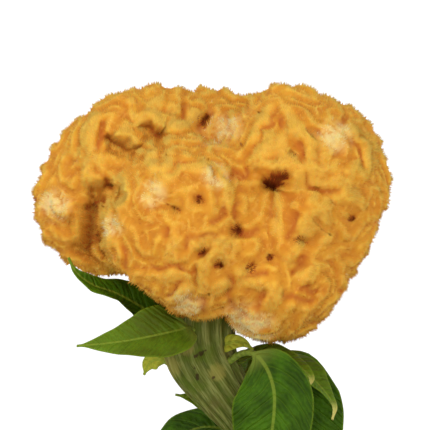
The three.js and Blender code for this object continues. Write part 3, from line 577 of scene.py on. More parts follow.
facing = normals_of(points, quads)
calm = np.maximum(ease(0.1, 1.1, waves(points, 12, 19 * MM)), spots(points, [CALM_PLACE]))
points = points - outward * (height * (FLATTER + np.maximum(CALM * calm, FRONT_CALM * front)))[:, None]
lift = melt(np.maximum(SEAM_LEVEL - height, 0) * open_spot, edges, 3)
points = points + outward * SEAM_FILL * lift[:, None]
low = (1 - ease(-1.2 * MM, 0.2 * MM, height)) * open_spot
points = points + (melt(points, edges, SEAM_ROUNDS) - points) * low[:, None]
points[:, 1] += PIT_DEPTH * pit * (1 + opening)
points = melt(points, edges, 3)
upper = ease(-3.0 * MM, 1.5 * MM, height)
fine = FINE_FOLD * melt(bands, edges, FOLD_ROUNDS) * open_spot * (1 - 0.45 * calm) * (0.8 + 0.2 * front)
fine = melt(fine + CREST_LIFT * crest_line - CLEFT_DEPTH * cleft_line, edges, 2)
points = points + facing * (SWELLING * (0.4 + 0.6 * upper) + fine)[:, None]
points = melt(points, edges, 2)
points[:, 1] += HOLLOW_DEPTH * hollow
points = melt(points, edges, 1)
facing = normals_of(points, quads)
crest = dots(points - melt(points, edges, CREST_ROUNDS), facing)
print("sharpness of the crest, mm:", (np.percentile(crest, [5, 50, 95]) / MM).round(3))

# %% [markdown]
# ## The head: combed flanks
#
# On the flank of a fold the florets stand in rows that run up to the crest, so velvet looks
# brushed. Random numbers on the points are averaged along the uphill way only. That draws
# them out into streaks, as a comb does. The diagonals of the squares count as neighbours
# here, so that a streak can run in any direction.

# %% Combing
STREAK_RELIEF = 0.1 * MM
COMB_ROUNDS = 7


def unit(vectors):
    """The same directions with a length of 1."""
    return vectors / np.linalg.norm(vectors, axis=-1, keepdims=True)


def comb(values, points, links, ways):
    """Values drawn out along the ways, by averaging with the neighbours that lie that way."""
    first, second = links.T
    steps = unit(points[second] - points[first])
    share = (dots(steps, ways[first]) * dots(steps, ways[second])) ** 4
    size = len(values)
    total = 1 + np.bincount(first, share, size) + np.bincount(second, share, size)
    for _ in range(COMB_ROUNDS):
        pulled = np.bincount(first, share * values[second], size)
        values = (values + pulled + np.bincount(second, share * values[first], size)) / total
    return values / values.std()


uphill = outward - facing * dots(outward, facing)[:, None]
uphill /= np.linalg.norm(uphill, axis=1, keepdims=True) + 0.05
links = np.vstack([edges, quads[:, [0, 2]], quads[:, [1, 3]]])
streak = comb(np.random.default_rng(21).normal(size=len(points)), points, links, uphill)
points = points + facing * (STREAK_RELIEF * np.clip(streak, -2, 2))[:, None]
print("streaks:", np.percentile(streak, [5, 50, 95]).round(2))

# %% [markdown]
# ## The head: its colours
#
# One plant, many golds: yellow on the crest line, partly its own colour and partly a painted
# highlight, and orange on the flanks. Painted shade makes the seams and clefts rust, the
# grooves and the hollows between the cushions darker orange, and the few deep pits red-brown.
# Here and there a cushion is creamy, where the florets are older. The masks are kept on the
# points, and the finish only mixes them.

# %% Masks
PALE = [
    (-9.0, -20, 287.0, 7.0),
    (-3.0, -24, 294.0, 5.5),
    (-31.5, -42, 262.0, 4.0),
    (-10.0, -38, 268.0, 4.0),
    (-47.0, -36, 250.0, 4.5),
    (-20.5, -40, 221.5, 6.0),
    (0.5, -30, 213.5, 9.0),
    (-55.9, -30, 267.5, 3.0),
    (-66.0, -8, 258.0, 5.0),
    (31.5, -30, 282.0, 5.0),
    (22.0, 24, 292.0, 8.0),
    (-36.0, 38, 262.0, 8.0),
]
line = melt(bands, edges, 3)
line = line / np.percentile(line, 98)
# the crest line's yellow is partly the florets' own colour and partly a painted highlight
ridge = np.maximum(ease(0.2, 1.0, line) * (1 - 0.2 * front), 0.9 * crest_line)
# painted shade: the seams, the clefts and the deep places of the relief are coloured rust
seam = ease(0.25, 0.95, -line) * ease(-0.9, 0.6, waves(points, 18, 14 * MM))
depth = np.maximum(seam, 1 - ease(-2.4 * MM, -1.2 * MM, height)) * (0.7 - 0.3 * front)
depth = np.maximum(depth, cleft_line)
# painted shade: the low places between crests are coloured darker orange
groove_shade = 1 - ease(-0.7 * MM, 0.1 * MM, crest)
pale = spots(points, PALE, 1.6) * ease(-1.8, 0.2, waves(points, 8, 9 * MM)) * (1 - hollow)
# painted shade: the hollows between the cushions are coloured darker, less where they stand high
hollow = hollow * (1 - 0.7 * ease(0.2 * MM, 1.6 * MM, height))
print("share of the skin: ridge", ridge.mean().round(2), "deep", depth.mean().round(2))

# %% The finish of the head
velvet = Finish(
    "head_velvet",
    Subsurface_Weight=0.7,
    Subsurface_Radius=(1.0, 0.65, 0.25),
    Subsurface_Scale=4.5 * MM,
    Specular_IOR_Level=0.03,
)
streaks = velvet.attribute("streak")
# painted shade: the pits are coloured red-brown to near black
pit_shade = velvet.attribute("pit") + streaks * 0.08
gold = velvet.mix(colour("da9230"), colour("e2a036"), velvet.noise(9 * MM, 2.0).step(0.35, 0.65))
gold = velvet.coats(
    gold,
    # painted shade in the seams, clefts and deep places
    ("c4642a", "depth", 0.7),
    # crest line: own yellow and painted highlight
    ("f6c250", "ridge", 0.9),
    # painted shade in the grooves
    ("d08430", "groove_shade", 0.35),
    ("f4c05a", streaks.step(0.2, 1.8), 0.3),
    ("cc7a2a", (0 - streaks).step(0.4, 2.0), 0.25),
    ("f8e29c", velvet.attribute("pale") * (streaks.step(-1.5, 1.0) * 0.5 + 0.25), 1),
    # painted shade in the hollows between the cushions
    ("bc8030", "hollow", 0.6),
    # painted shade in the pits
    ("c0602a", pit_shade.step(0.1, 0.5), 0.8),
    ("8a3c18", pit_shade.step(0.45, 0.85), 1),
)
head_finish = velvet.paint(
    Base_Color=gold,
    Roughness=velvet.noise(3 * MM) * 0.15 + 0.62,
    Normal=velvet.bump(velvet.noise(0.7 * MM, 2.0), 0.2 * MM, 0.5),
)
print("nodes in the finish of the head:", len(velvet.tree.nodes))

# %% The skin of the head
marks = {
    "groove_shade": groove_shade, "ridge": ridge, "depth": depth, "pit": pit,
    "hollow": hollow, "pale": pale, "streak": streak,
}
make_piece("bloom_skin", make_mesh("bloom_skin", points, quads, marks), head_finish, ["bloom"])

# %% [markdown]
# ## The head: a fringe of florets
#
# What looks like velvet is a dense fur of floret tips: short fuzz on the flanks, and teeth
# of one to two millimetres on the crests. Hair particles would be lost when the piece is
# exported, so each tip is a real spike with three sides and a base. Spikes stand out along a
# blend of the skin's own normal and the melted head's, so that they lean up the flanks
# towards the crest and bristle round the outline. On the rim of a pit they lean in over it.
# Each spike has one colour, so they are sorted into a few pieces by tone.

# %% Scattering
def scatter(points, quads, weight, count, seed):
    """Random places on a net of squares: the corners round each one and their shares."""
    random = np.random.default_rng(seed)
    a, b, c, d = (points[quads[:, i]] for i in range(4))
    area = np.linalg.norm(np.cross(c - a, d - b), axis=1) / 2
    chance = area * weight[quads].mean(axis=1)
    chosen = random.choice(len(quads), count, p=chance / chance.sum())
    u, v = random.random((2, count))
    return quads[chosen], np.stack([(1 - u) * (1 - v), u * (1 - v), u * v, (1 - u) * v], axis=1)


def at(places, values):
    """Values of the skin's points, read at scattered places."""
    corners, shares = places
    return np.einsum("ij,ij...->i...", shares, values[corners])


def spikes(roots, ways, lengths, widths, seed):
    """Points and triangles of closed three-sided spikes that stand on their roots."""
    random = np.random.default_rng(seed)
    ways = unit(ways)
    side = unit(np.cross(ways, random.normal(size=ways.shape)))
    other = np.cross(ways, side)
    corners = [
        roots + widths[:, None] * (math.cos(turn) * side + math.sin(turn) * other)
        for turn in (0, 2 * math.pi / 3, 4 * math.pi / 3)
    ]
    tips = roots + ways * lengths[:, None]
    made = np.stack([*corners, tips], axis=1).reshape(-1, 3)
    first = 4 * np.arange(len(roots))[:, None]
    faces = [first + np.array(f) for f in ([0, 1, 3], [1, 2, 3], [2, 0, 3], [2, 1, 0])]
    return made, np.concatenate(faces, axis=1).reshape(-1, 3)


print("faces of one spike:", len(spikes(np.zeros((1, 3)), np.eye(3)[:1], np.ones(1), np.ones(1), 1)[1]))

# %% Where the florets stand
FUZZ = 30_000
TEETH = 44_000
# in millimetres
FUZZ_LENGTHS = (0.35, 0.6)
TOOTH_LENGTHS = (0.9, 1.7)
FUZZ_WIDTH = 0.11
TOOTH_WIDTH = 0.17
ROOTED = 0.2


def rising(values, points, edges):
    """The way in which the values on the points rise, as a unit vector or less."""
    first, second = edges.T
    steps = (points[second] - points[first]) * (values[second] - values[first])[:, None]
    total = summed(edges.ravel(), np.repeat(steps, 2, axis=0), len(points))
    return total / (np.linalg.norm(total, axis=1, keepdims=True) + 0.02 * MM)


random = np.random.default_rng(31)
gap = np.maximum(pit, hollow)
rim = 4 * gap * (1 - gap)
inward = melt(rising(gap, points, edges), edges, 2)
dense = 1 - 0.3 * pale
fuzz = scatter(points, quads, (0.3 + 0.5 * ease(-0.3, 0.6, line)) * dense, FUZZ, 30)
teeth = scatter(points, quads, (0.12 + ridge) * dense + 1.5 * rim, TEETH, 29)
places = tuple(np.concatenate(pair) for pair in zip(fuzz, teeth))
count = FUZZ + TEETH
tooth = np.arange(count) >= FUZZ
upright = at(places, facing)
ways = np.where(tooth[:, None], 0.8 * at(places, outward), 0.5 * at(places, uphill))
ways = ways + 0.5 * upright + 0.14 * random.normal(size=ways.shape)
ways += 1.2 * at(places, inward * rim[:, None])
lengths = np.where(tooth, random.uniform(*TOOTH_LENGTHS, count), random.uniform(*FUZZ_LENGTHS, count)) * MM
widths = np.where(tooth, TOOTH_WIDTH, FUZZ_WIDTH) * random.uniform(0.8, 1.2, count) * MM
roots = at(places, points) - ROOTED * MM * upright
print("florets:", count, "of about", (lengths.mean() / MM).round(2), "mm")

# %% Florets
# the middle of each group on the scale from seam, -1, to crest, 1
TONES = {
    "brown": (-1.8, "98561f"),
    "rust": (-0.9, "cc6828"),
    "amber": (-0.4, "da872c"),
    "orange": (0.0, "f0a23b"),
    "gold": (0.5, "feba49"),
    "yellow": (1.0, "ffcd5c"),
}
CREAM = "ffe4a4"

# painted shade: florets in seams, grooves, pits and hollows are set darker and redder
tone = at(places, ridge - 0.5 * depth - 0.5 * groove_shade + 0.2 * streak + 0.7 * rim * (1 - hollow))
shade = at(places, 1.6 * pit + 0.9 * hollow)
# painted light and shade: florets that face up are set yellower, those that face down oranger
tone += 0.4 * upright[:, 2] + random.normal(0, 0.1, count) - shade - 0.1 * tooth
creamy = at(places, pale) + random.normal(0, 0.15, count) > 0.5
nearest = np.argmin([abs(tone - middle) for middle, _ in TONES.values()], axis=0)
groups = {name: (code, ~creamy & (nearest == i)) for i, (name, (_, code)) in enumerate(TONES.items())}
groups["cream"] = (CREAM, creamy)
for name, (code, chosen) in groups.items():
    finish = Finish(f"floret_{name}", Base_Color=colour(code), Roughness=0.9, Specular_IOR_Level=0.02)
    made, faces = spikes(roots[chosen], ways[chosen], lengths[chosen], widths[chosen], 32)
    tuft = make_mesh(f"florets_{name}", made, faces, normals=np.repeat(upright[chosen], 4, axis=0))
    make_piece(f"florets_{name}", tuft, finish.material, ["bloom"])

# %% [markdown]
# ## The leaves: one formula, eighteen paths
#
# A celosia leaf is a lance: a short round stalk, a blade that is widest below its middle,
# and a long drawn-out tip. Its halves fold up a little along the midrib, its margin waves,
# and the tissue puffs up between the side veins, which lean towards the tip. Cloth tools
# could bend a flat leaf, but a leaf keeps the shape that it grew, so each one is worked out
# along its midrib by the formula of the solids, with many more rows and columns.

# %% Smooth curves
def spline(stops, shares):
    """Points of the smooth curve through the stops, at shares 0 to 1 of its parameter."""
    stops = np.asarray(stops, dtype=float)
    ends = np.vstack([2 * stops[0] - stops[1], stops, 2 * stops[-1] - stops[-2]])
    place = np.asarray(shares) * (len(stops) - 1)
    first = np.minimum(place.astype(int), len(stops) - 2)
    w = (place - first)[:, None]
    a, b, c, d = (ends[first + i] for i in range(4))
    before, here, after = (
        np.sqrt(np.linalg.norm(q - p, axis=1, keepdims=True)) for p, q in ((a, b), (b, c), (c, d))
    )
    leaving = here * ((b - a) / before - (c - a) / (before + here) + (c - b) / here)
    arriving = here * ((c - b) / here - (d - b) / (here + after) + (d - c) / after)
    bend = 3 * (c - b) - 2 * leaving - arriving
    twist = 2 * (b - c) + leaving + arriving
    return b + w * (leaving + w * (bend + w * twist))


def evenly(stops, shares):
    """Points at shares of the curve's length, its directions there, and its length."""
    fine = spline(stops, np.linspace(0, 1, 800))
    reach = np.concatenate([[0], np.cumsum(np.linalg.norm(np.diff(fine, axis=0), axis=1))])
    places, ways = (
        np.stack([np.interp(shares * reach[-1], reach, column) for column in values.T], axis=1)
        for values in (fine, unit(np.gradient(fine, axis=0)))
    )
    return places, unit(ways), reach[-1]


print("a quarter along a bent path:", spline([(0, 0), (1, 1), (2, 0)], [0.25])[0].round(2))

# %% The leaves' paths
# in millimetres: its midrib, half its width, where its face looks, its fold in degrees, the
# height and number of its margin's waves, how far out it is widest, the share of its stalk,
# how pale it is, how dry its tip, and the reach of its midrib's pale line
Leaf = namedtuple(
    "Leaf", "path half face fold wave ripples wide stalk pale tip rib", defaults=(0.12, 0.0, 0.0, 1.1),
)
LEAVES = [
    Leaf([(-22, 2, 211), (-31, 5, 219), (-44, 0, 227), (-53, -5, 230.5), (-58.5, -8, 235),
          (-61, -9, 240)],
         7.0, (-0.2, -0.7, 0.65), 16, 0.8, 2.5, 0.6),
    Leaf([(-17, -4, 214.5), (-21, -10.5, 215), (-28, -14, 213.6), (-38, -15, 211.6),
          (-48, -14.5, 210.2), (-58, -12.5, 209.3)],
         10.4, (-0.1, -0.85, 0.45), 14, 0.9, 2, 0.42, pale=0.12, rib=0.6),
    Leaf([(-23, 3, 201), (-29.5, 6, 204), (-33.2, 7.5, 202.4), (-35, 8, 198.5)],
         3.5, (-0.2, -0.95, 0.2), 10, 0.3, 1, 0.8, stalk=0.3, pale=0.9),
    Leaf([(-9, 3, 185.5), (-15, 7, 189.5), (-20, 8, 190.8), (-24, 8, 191.6)],
         3.2, (-0.2, -0.8, 0.6), 10, 0.3, 1, 0.6, pale=0.25),
    Leaf([(1, 3, 172), (-7, 10, 179), (-17, 14, 179), (-28, 15, 171), (-38, 14, 158), (-44, 12, 146)],
         9.2, (-0.35, -0.5, 0.8), 16, 0.9, 2.5, 0.6),
    Leaf([(-10, -2, 207.5), (-4.5, -4.5, 210.2), (0, -5, 210), (3.4, -5.5, 207.8)],
         3.2, (0.1, -0.9, 0.4), 12, 0.3, 1, 0.6, pale=1.0),
    Leaf([(-6, -3, 203), (-0.5, -8, 206.6), (4, -13.5, 206.4), (8, -17, 201.6), (10.4, -18.5, 194),
          (10.4, -18.5, 186), (8.6, -17, 172), (7, -14, 158), (6.5, -12, 147)],
         14.5, (-0.15, -0.95, 0.1), 12, 1.1, 3, 0.75, stalk=0.2),
    Leaf([(-6, 1, 200.5), (3, -1, 205), (12, -4.5, 205), (19, -9.5, 202), (23.4, -13.5, 197.6),
          (21.8, -15, 194.6)],
         5.8, (0.35, -0.5, 0.8), 20, 0.6, 2, 0.75, pale=0.15, tip=1),
    Leaf([(-4, 3, 196), (7, 6, 202), (17, 3, 202.4), (26, -2, 195.5), (31.5, -5, 187.5), (30.8, -7, 183.5)],
         7.4, (0.4, -0.45, 0.8), 18, 0.8, 2.5, 0.75, pale=0.1, tip=1),
    Leaf([(-3, 4, 191), (5, 10, 200), (12, 12.5, 203.4), (16.8, 13, 200), (19, 12, 190), (21, 11, 178),
          (23.5, 9.5, 163), (26, 8, 149)],
         15.5, (0.1, -0.98, 0.15), 10, 1.1, 3, 0.85, stalk=0.26),
    Leaf([(-9, 4, 192), (-7, 16, 202), (-5, 31, 203), (-3, 44, 191), (-1, 52, 174)],
         9.5, (0, 0.5, 0.8), 14, 1.0, 3, 0.6),
    Leaf([(3, 3, 170), (3, 14, 178), (12, 28, 183), (27, 38, 174), (36, 43, 158)],
         9.5, (0.4, 0.4, 0.8), 14, 1.0, 3, 0.6),
    Leaf([(8, 1, 148), (-4, -3, 158), (-20, -10, 161), (-40, -18, 151), (-56, -24, 135), (-62, -26, 124)],
         12, (-0.3, -0.2, 0.9), 14, 1.2, 3, 0.6),
    Leaf([(13, 0, 140), (27, -6, 151), (46, -12, 152), (64, -17, 139), (75, -20, 124)],
         12.5, (0.3, -0.2, 0.9), 14, 1.2, 3, 0.6),
    Leaf([(11, -2, 127), (8, -17, 139), (2, -36, 142), (-6, -54, 132), (-10, -65, 118)],
         12, (0, -0.4, 0.9), 14, 1.2, 3, 0.6),
    Leaf([(12, 2, 131), (16, 18, 143), (22, 36, 146), (28, 54, 136), (31, 65, 122)],
         12, (0.1, 0.4, 0.9), 14, 1.2, 3, 0.6),
    Leaf([(12, -2, 116), (23, -14, 126), (36, -27, 128), (47, -37, 120)],
         8, (0.3, -0.3, 0.9), 14, 0.8, 2.5, 0.6, pale=0.2),
    Leaf([(9, 3, 114), (-3, 14, 125), (-18, 25, 127), (-31, 35, 119)],
         8, (-0.3, 0.3, 0.9), 14, 0.8, 2.5, 0.6, pale=0.3),
]
print("leaves:", len(LEAVES))

# %% [markdown]
# ## The leaves: from a midrib to a blade
#
# The cross-section goes over the upper face from one margin to the other and back along the
# lower face, so that each leaf is closed: row after row of rings, joined by squares. Its
# columns crowd at the midrib and the margins, where the shape changes most. Each leaf starts
# its margin waves at its own number, which comes from the same seeded generator as in the
# solids.

# %% A seeded share
def seeded_share(seed):
    """The first number, 0 to 1, of the small generator that the solids use."""
    limit = 0xFFFFFFFF
    state = (seed + 0x6D2B79F5) & limit
    t = ((state ^ (state >> 15)) * (state | 1)) & limit
    t ^= (t + (((t ^ (t >> 7)) * (t | 61)) & limit)) & limit
    return (t ^ (t >> 14)) / (limit + 1)


print("first shares:", [round(seeded_share(900 + number), 3) for number in range(3)])

# %% Nets of squares
def lerp(first, second, share):
    """What lies at a share of the way from the first to the second."""
    return first + (second - first) * share


def ring_faces(rows, ring):
    """Squares between rows of points, each row a closed ring, for so many gaps between rows."""
    near = ring * np.arange(rows)[:, None] + np.arange(ring)
    next_near = ring * np.arange(rows)[:, None] + (np.arange(ring) + 1) % ring
    return np.stack([near, next_near, next_near + ring, near + ring], axis=2).reshape(-1, 4)


def on_net(shape, fields):
    """Each field spread over a net of rows and columns, as one number a point."""
    return {name: np.broadcast_to(values, shape).ravel() for name, values in fields.items()}


print("squares of two rings of three points:", ring_faces(1, 3).tolist())

# %% Shape of a blade
LEAF_ROWS = 56
LEAF_COLUMNS = 20
CROWDING = 0.1
TIP_TAPER = 1.35
STALK_HALF = 1.3
TIP_HALF = 0.45
BLADE_THICKNESS = 0.4
STALK_THICKNESS = 2.2
RIB_DROP = 0.9
RIB_HALF = 0.9
# by how much the waves of one margin are ahead of the other's, in radians
MARGINS_APART = 1.9
QUILT = 0.42
VEIN_SPACING = 5.4
VEIN_LEAN = 0.75
VEIN_BEND = 0.02


def leaf_blade(leaf, number):
    """Points, faces and fields of one leaf."""
    t = np.linspace(0, 1, LEAF_ROWS + 1)
    middle, ways, length = evenly(leaf.path, t)
    side = unit(np.cross(ways, leaf.face))
    up = unit(np.cross(side, ways))
    u = np.clip((t - leaf.stalk) / (1 - leaf.stalk), 0, 1)
    peak = leaf.wide / (leaf.wide + TIP_TAPER)
    blade = leaf.half * (u / peak) ** leaf.wide * ((1 - u) / (1 - peak)) ** TIP_TAPER
    half = np.maximum(blade, lerp(STALK_HALF, TIP_HALF, t))
    # across: over the upper face and back along the lower one
    s = np.linspace(-1, 1, LEAF_COLUMNS + 1)
    over = s - CROWDING * np.sin(2 * math.pi * s)
    v = np.concatenate([over, over[::-1]])
    under = np.repeat([0.0, 1.0], LEAF_COLUMNS + 1)
    t, u, half, blade = (values[:, None] for values in (t, u, half, blade))
    away = abs(v) * half
    rim = half - away
    shift = 2 * math.pi * seeded_share(900 + number)
    turn = 2 * math.pi * leaf.ripples * t + shift + np.where(v > 0, MARGINS_APART, 0)
    ripple = np.sin(turn) + 0.25 * np.sin(3.1 * turn + 1)
    ripple = leaf.wave * v * v * ripple * np.minimum(1, blade / leaf.half + 0.1)
    phase = (t * length - VEIN_LEAN * away - VEIN_BEND * away * away) / VEIN_SPACING
    puff = np.sqrt(abs(np.sin(math.pi * phase))) - 0.6
    puff = QUILT * puff * ease(0.4, 2.6, away) * ease(0, 2.5, rim)
    round_stalk = 1 - ease(0, 0.12, u)
    flat = lerp(BLADE_THICKNESS, 0.5 * BLADE_THICKNESS, ease(0.8, 1, abs(v)))
    thickness = lerp(flat, STALK_THICKNESS * np.sqrt(np.maximum(1 - v * v, 0.01)), round_stalk)
    rib = np.exp(-(away / RIB_HALF) ** 2) * (1 - round_stalk)
    drop = lerp(-0.12, RIB_DROP * (1 - 0.8 * t), under) * rib
    fold = math.radians(leaf.fold)
    rise = np.sqrt(away * away + 0.3) * math.sin(fold)
    lift = rise + ripple + puff + (0.5 - under) * thickness - abs(drop) * np.sign(under + 0.5)
    points = middle[:, None] + side[:, None] * (v * half * math.cos(fold))[..., None]
    points = (points + up[:, None] * lift[..., None]) * MM
    ring = len(v)
    near = np.arange(LEAF_COLUMNS)
    cap = np.stack([near, ring - 1 - near, ring - 2 - near, near + 1], axis=1)
    faces = np.vstack([ring_faces(LEAF_ROWS, ring), cap, ring * LEAF_ROWS + cap[:, ::-1]])
    fields = {
        "phase": phase, "away": away / lerp(leaf.rib, 0.45, t), "rim": rim, "under": under,
        "reach": t, "stalk": round_stalk, "paleness": leaf.pale, "dry_tip": leaf.tip,
    }
    return points.reshape(-1, 3), faces, on_net(away.shape, fields)


largest = leaf_blade(LEAVES[9], 9)[0] / MM
print("leaf 10 reaches, mm:", np.ptp(largest, axis=0).round(1))

# %% [markdown]
# ## The leaves: veins without a drawing
#
# The veins come from the same numbers as the shape. Each point knows how far it is from the
# midrib and from the margin, and its place in the row of side veins, so the finish can draw
# thin pale lines between the points of the mesh. Young blades are bright, old ones are darker,
# and the lower face is paler and duller than the upper.

# %% The finish of the leaves
leafy = Finish("leaf_green", Specular_IOR_Level=0.1, Subsurface_Weight=0.05, Subsurface_Scale=0.6 * MM)
phase = leafy.attribute("phase")
side_vein = abs(phase.fraction() - 0.5).step(0.40, 0.5)
pillow = abs((phase * 2 + 0.5 + leafy.noise(4 * MM) * 1.8).fraction() - 0.5).step(0.0, 0.5)
midrib = 1 - leafy.attribute("away").step(0.45, 0.95)
under = leafy.attribute("under")
reach = leafy.attribute("reach")
fleck = leafy.noise(1.1 * MM, 2.0)
green = leafy.mix(colour("284203"), colour("416708"), leafy.noise(9 * MM).step(0.36, 0.66))
green = leafy.coats(
    green,
    ("5f8a14", reach.step(0.4, 1.0), 0.5),
    ("233e02", fleck.step(0.5, 0.8), 0.4),
    ("bcbc3c", "paleness", 1),
    ("678a1c", side_vein, 0.25),
    ("5a8412", pillow, 0.15),
    ("7c9034", under, 0.45),
    ("8c9e34", midrib, 0.55),
    ("86a024", 1 - leafy.attribute("rim").step(0.15, 0.75), 0.35),
    ("84943a", "stalk", 0.8),
    ("d8cc74", leafy.attribute("dry_tip") * reach.step(0.84, 0.97), 1),
)
relief = pillow * 0.4 + side_vein * -0.3 + fleck * 0.3 + midrib * 0.3
leaf_finish = leafy.paint(
    Base_Color=green,
    Roughness=leafy.noise(3 * MM) * 0.2 + under * 0.15 + 0.4,
    Normal=leafy.bump(relief, 0.7 * MM, 0.8),
)
print("nodes in the finish of the leaves:", len(leafy.tree.nodes))

# %% The leaves
for number, leaf in enumerate(LEAVES):
    name = f"leaf_{number + 1:02d}"
    blade = make_mesh(f"{name}_blade", *leaf_blade(leaf, number))
    make_piece(f"{name}_blade", blade, leaf_finish, [name])

# %% [markdown]
# ## The stem: a flattened bundle of ribs
#
# A crested stem is many stems grown side by side, so it is flat, ribbed and fibrous, pale on
# its ribs and olive between them. Old leaves left small brown scars, and here and there the
# skin has dried to straw. The solid's sections and ribs are repeated on a net eight times as
# fine, then finer ribs and the scars are pressed in.

# %% Shape of the stem
# centre, half width across and half depth front to back, in millimetres
STEM_SECTIONS = [
    (8.0, 1.0, 86, 5.6, 5.4),
    (8.6, 1.0, 100, 6.2, 5.8),
    (10.4, 0.6, 118, 6.0, 5.4),
    (11.6, 0.2, 136, 6.0, 5.2),
    (10.6, 0.0, 152, 6.2, 5.2),
    (6.8, 0.0, 168, 6.6, 5.4),
    (0.4, 0.0, 182, 7.4, 5.8),
    (-8.0, 0.0, 194, 9.6, 6.4),
    (-14.6, 0.0, 205, 12.0, 7.0),
    (-16.4, 0.5, 215, 12.6, 7.4),
    (-15.4, 2.0, 226, 13.0, 7.6),
]
STEM_RIBS = 14
STEM_SIDES = 8 * STEM_RIBS
STEM_ROWS = 110
# how far the top ring runs on into the head, in millimetres
INTO_HEAD = (2.0, 1.0, 14.0)
# middle and radius in millimetres
SCARS = [
    (-16.8, -7, 205.6, 1.1),
    (-15.0, -7, 206.6, 1.1),
    (-13.4, -7, 207.6, 0.9),
    (-10.7, -7, 198.2, 0.9),
    (-17.2, -7, 200.8, 0.8),
    (-16.6, -7, 199.0, 0.9),
    (-16.0, -7, 197.2, 0.8),
    (-16.0, -7, 190.6, 0.8),
    (4.0, -6, 176.0, 1.6),
    (12.0, -5, 158.0, 1.8),
    (9.0, 6, 140.0, 1.8),
    (14.0, -4, 122.0, 1.6),
    (-4.0, 6, 196.0, 1.8),
]
STRAW = [
    (-26.0, -3, 201.5, 4.2),
    (-9.2, -7, 200.0, 3.2),
    (-20.0, -7, 209.0, 3.0),
    (8.0, -6, 166.0, 3.4),
    (10.0, 6, 150.0, 4.0),
]


def stem_net():
    """Points, faces and fields of the stem."""
    t = np.linspace(0, 1, STEM_ROWS + 1)
    sections = np.array(STEM_SECTIONS)
    centres = spline(sections[:, :3], t)
    # the row's number beside the sizes keeps their curve at an even pace
    sizes = spline(np.column_stack([sections[:, 3:], np.arange(len(sections))]), t)
    ways = unit(np.gradient(centres, axis=0))
    across = unit(np.column_stack([ways[:, 2], 0 * t, -ways[:, 0]]))
    depth = unit(np.cross(ways, across))
    a = 2 * math.pi * np.arange(STEM_SIDES) / STEM_SIDES
    t = t[:, None]
    rib = np.cos(STEM_RIBS * a)
    fibre = np.cos(3 * STEM_RIBS * a + 4 * np.sin(9 * t + a))
    swell = 1 + (0.035 + 0.03 * t) * rib + 0.02 * np.sin(3 * a + 9 * t) + 0.007 * fibre
    x = sizes[:, :1] * swell * np.cos(a)
    y = sizes[:, 1:2] * swell * np.sin(a)
    points = centres[:, None] + across[:, None] * x[..., None] + depth[:, None] * y[..., None]
    points[-1] += INTO_HEAD
    points = points.reshape(-1, 3) * MM
    fields = on_net(x.shape, {"rib": rib, "east": x / 10, "north": y / 10, "reach": t})
    fields["scar"] = spots(points, SCARS)
    fields["straw"] = spots(points, STRAW, 1.6)
    return points, ring_faces(STEM_ROWS, STEM_SIDES), fields


print("stem:", len(STEM_SECTIONS), "sections,", len(SCARS), "scars")

# %% The finish of the stem
fibrous = Finish("stem_green", Specular_IOR_Level=0.1, Subsurface_Weight=0.1, Subsurface_Scale=1.5 * MM)
east, north, reach = (fibrous.attribute(name) for name in ("east", "north", "reach"))
lengthwise = fibrous.node("CombineXYZ", {}, {0: east, 1: north, 2: reach * 0.6})
fibres = fibrous.noise(0.06, 4.0, lengthwise)
threads = fibrous.noise(0.04, 2.0, lengthwise)
patch = fibrous.noise(7 * MM)
frayed = fibrous.noise(1.6 * MM, 4.0)
rind = fibrous.mix(colour("656c2a"), colour("8a8e4c"), fibres.step(0.4, 0.62))
rind = fibrous.coats(
    rind,
    ("47520f", 1 - fibrous.attribute("rib").step(-0.9, 0.5), 0.7),
    ("586a16", patch.step(0.46, 0.64), 0.7),
    ("3f4212", threads.step(0.55, 0.66), 0.55),
    ("92944e", (1 - threads).step(0.56, 0.7), 0.4),
    ("a3984a", (fibrous.attribute("straw") * 0.8 + frayed * 0.6 + fibres * 0.9).step(1.0, 1.5), 0.55),
    ("6e5a34", fibrous.noise(9 * MM).step(0.52, 0.66), 0.35),
    ("402a18", (fibrous.attribute("scar") + frayed).step(1.02, 1.3), 0.8),
)
stem_finish = fibrous.paint(
    Base_Color=rind,
    Roughness=patch * 0.2 + 0.45,
    Normal=fibrous.bump(fibres * 0.8 + fibrous.noise(0.6 * MM) * 0.3, 0.5 * MM, 0.6),
)
print("nodes in the finish of the stem:", len(fibrous.tree.nodes))

# %% The stem
SCAR_DEPTH = 0.8 * MM
points, faces, fields = stem_net()
points += normals_of(points, faces) * (-SCAR_DEPTH * fields["scar"])[:, None]
make_piece("stem_ribbed", make_mesh("stem_ribbed", points, faces, fields), stem_finish, ["stem"])

# %% [markdown]
# ## The pot: thrown clay with softened edges
#
# A clay pot is a body of revolution: a tapered wall, a thicker band at the rim that it can be
# lifted by, and a floor with drain holes. Its outline is turned once round the axis. Clay has
# no sharp edges, because it shrinks and is sponged before firing, so each corner of the
# outline becomes a short curve first. The drain holes are cut with a Boolean, as they are cut
# from the real pot with a tube.

# %% Turning an outline
def softened(outline, radius, steps=4):
    """The outline with a short curve in place of each corner."""
    outline = np.asarray(outline, dtype=float)
    curved = [outline[0]]
    for before, corner, after in zip(outline, outline[1:], outline[2:]):
        room = min(np.linalg.norm(before - corner), np.linalg.norm(after - corner)) * 0.45
        start = corner + unit(before - corner) * min(radius, room)
        end = corner + unit(after - corner) * min(radius, room)
        for w in np.linspace(0, 1, steps + 1):
            curved.append(lerp(lerp(start, corner, w), lerp(corner, end, w), w))
    return np.array([*curved, outline[-1]])


def divided(outline, longest):
    """The outline with long stretches divided into short steps."""
    pieces = [outline[:1]]
    for start, end in zip(outline, outline[1:]):
        count = max(1, math.ceil(np.linalg.norm(end - start) / longest))
        pieces.append(lerp(start, end, np.arange(1, count + 1)[:, None] / count))
    return np.vstack(pieces)


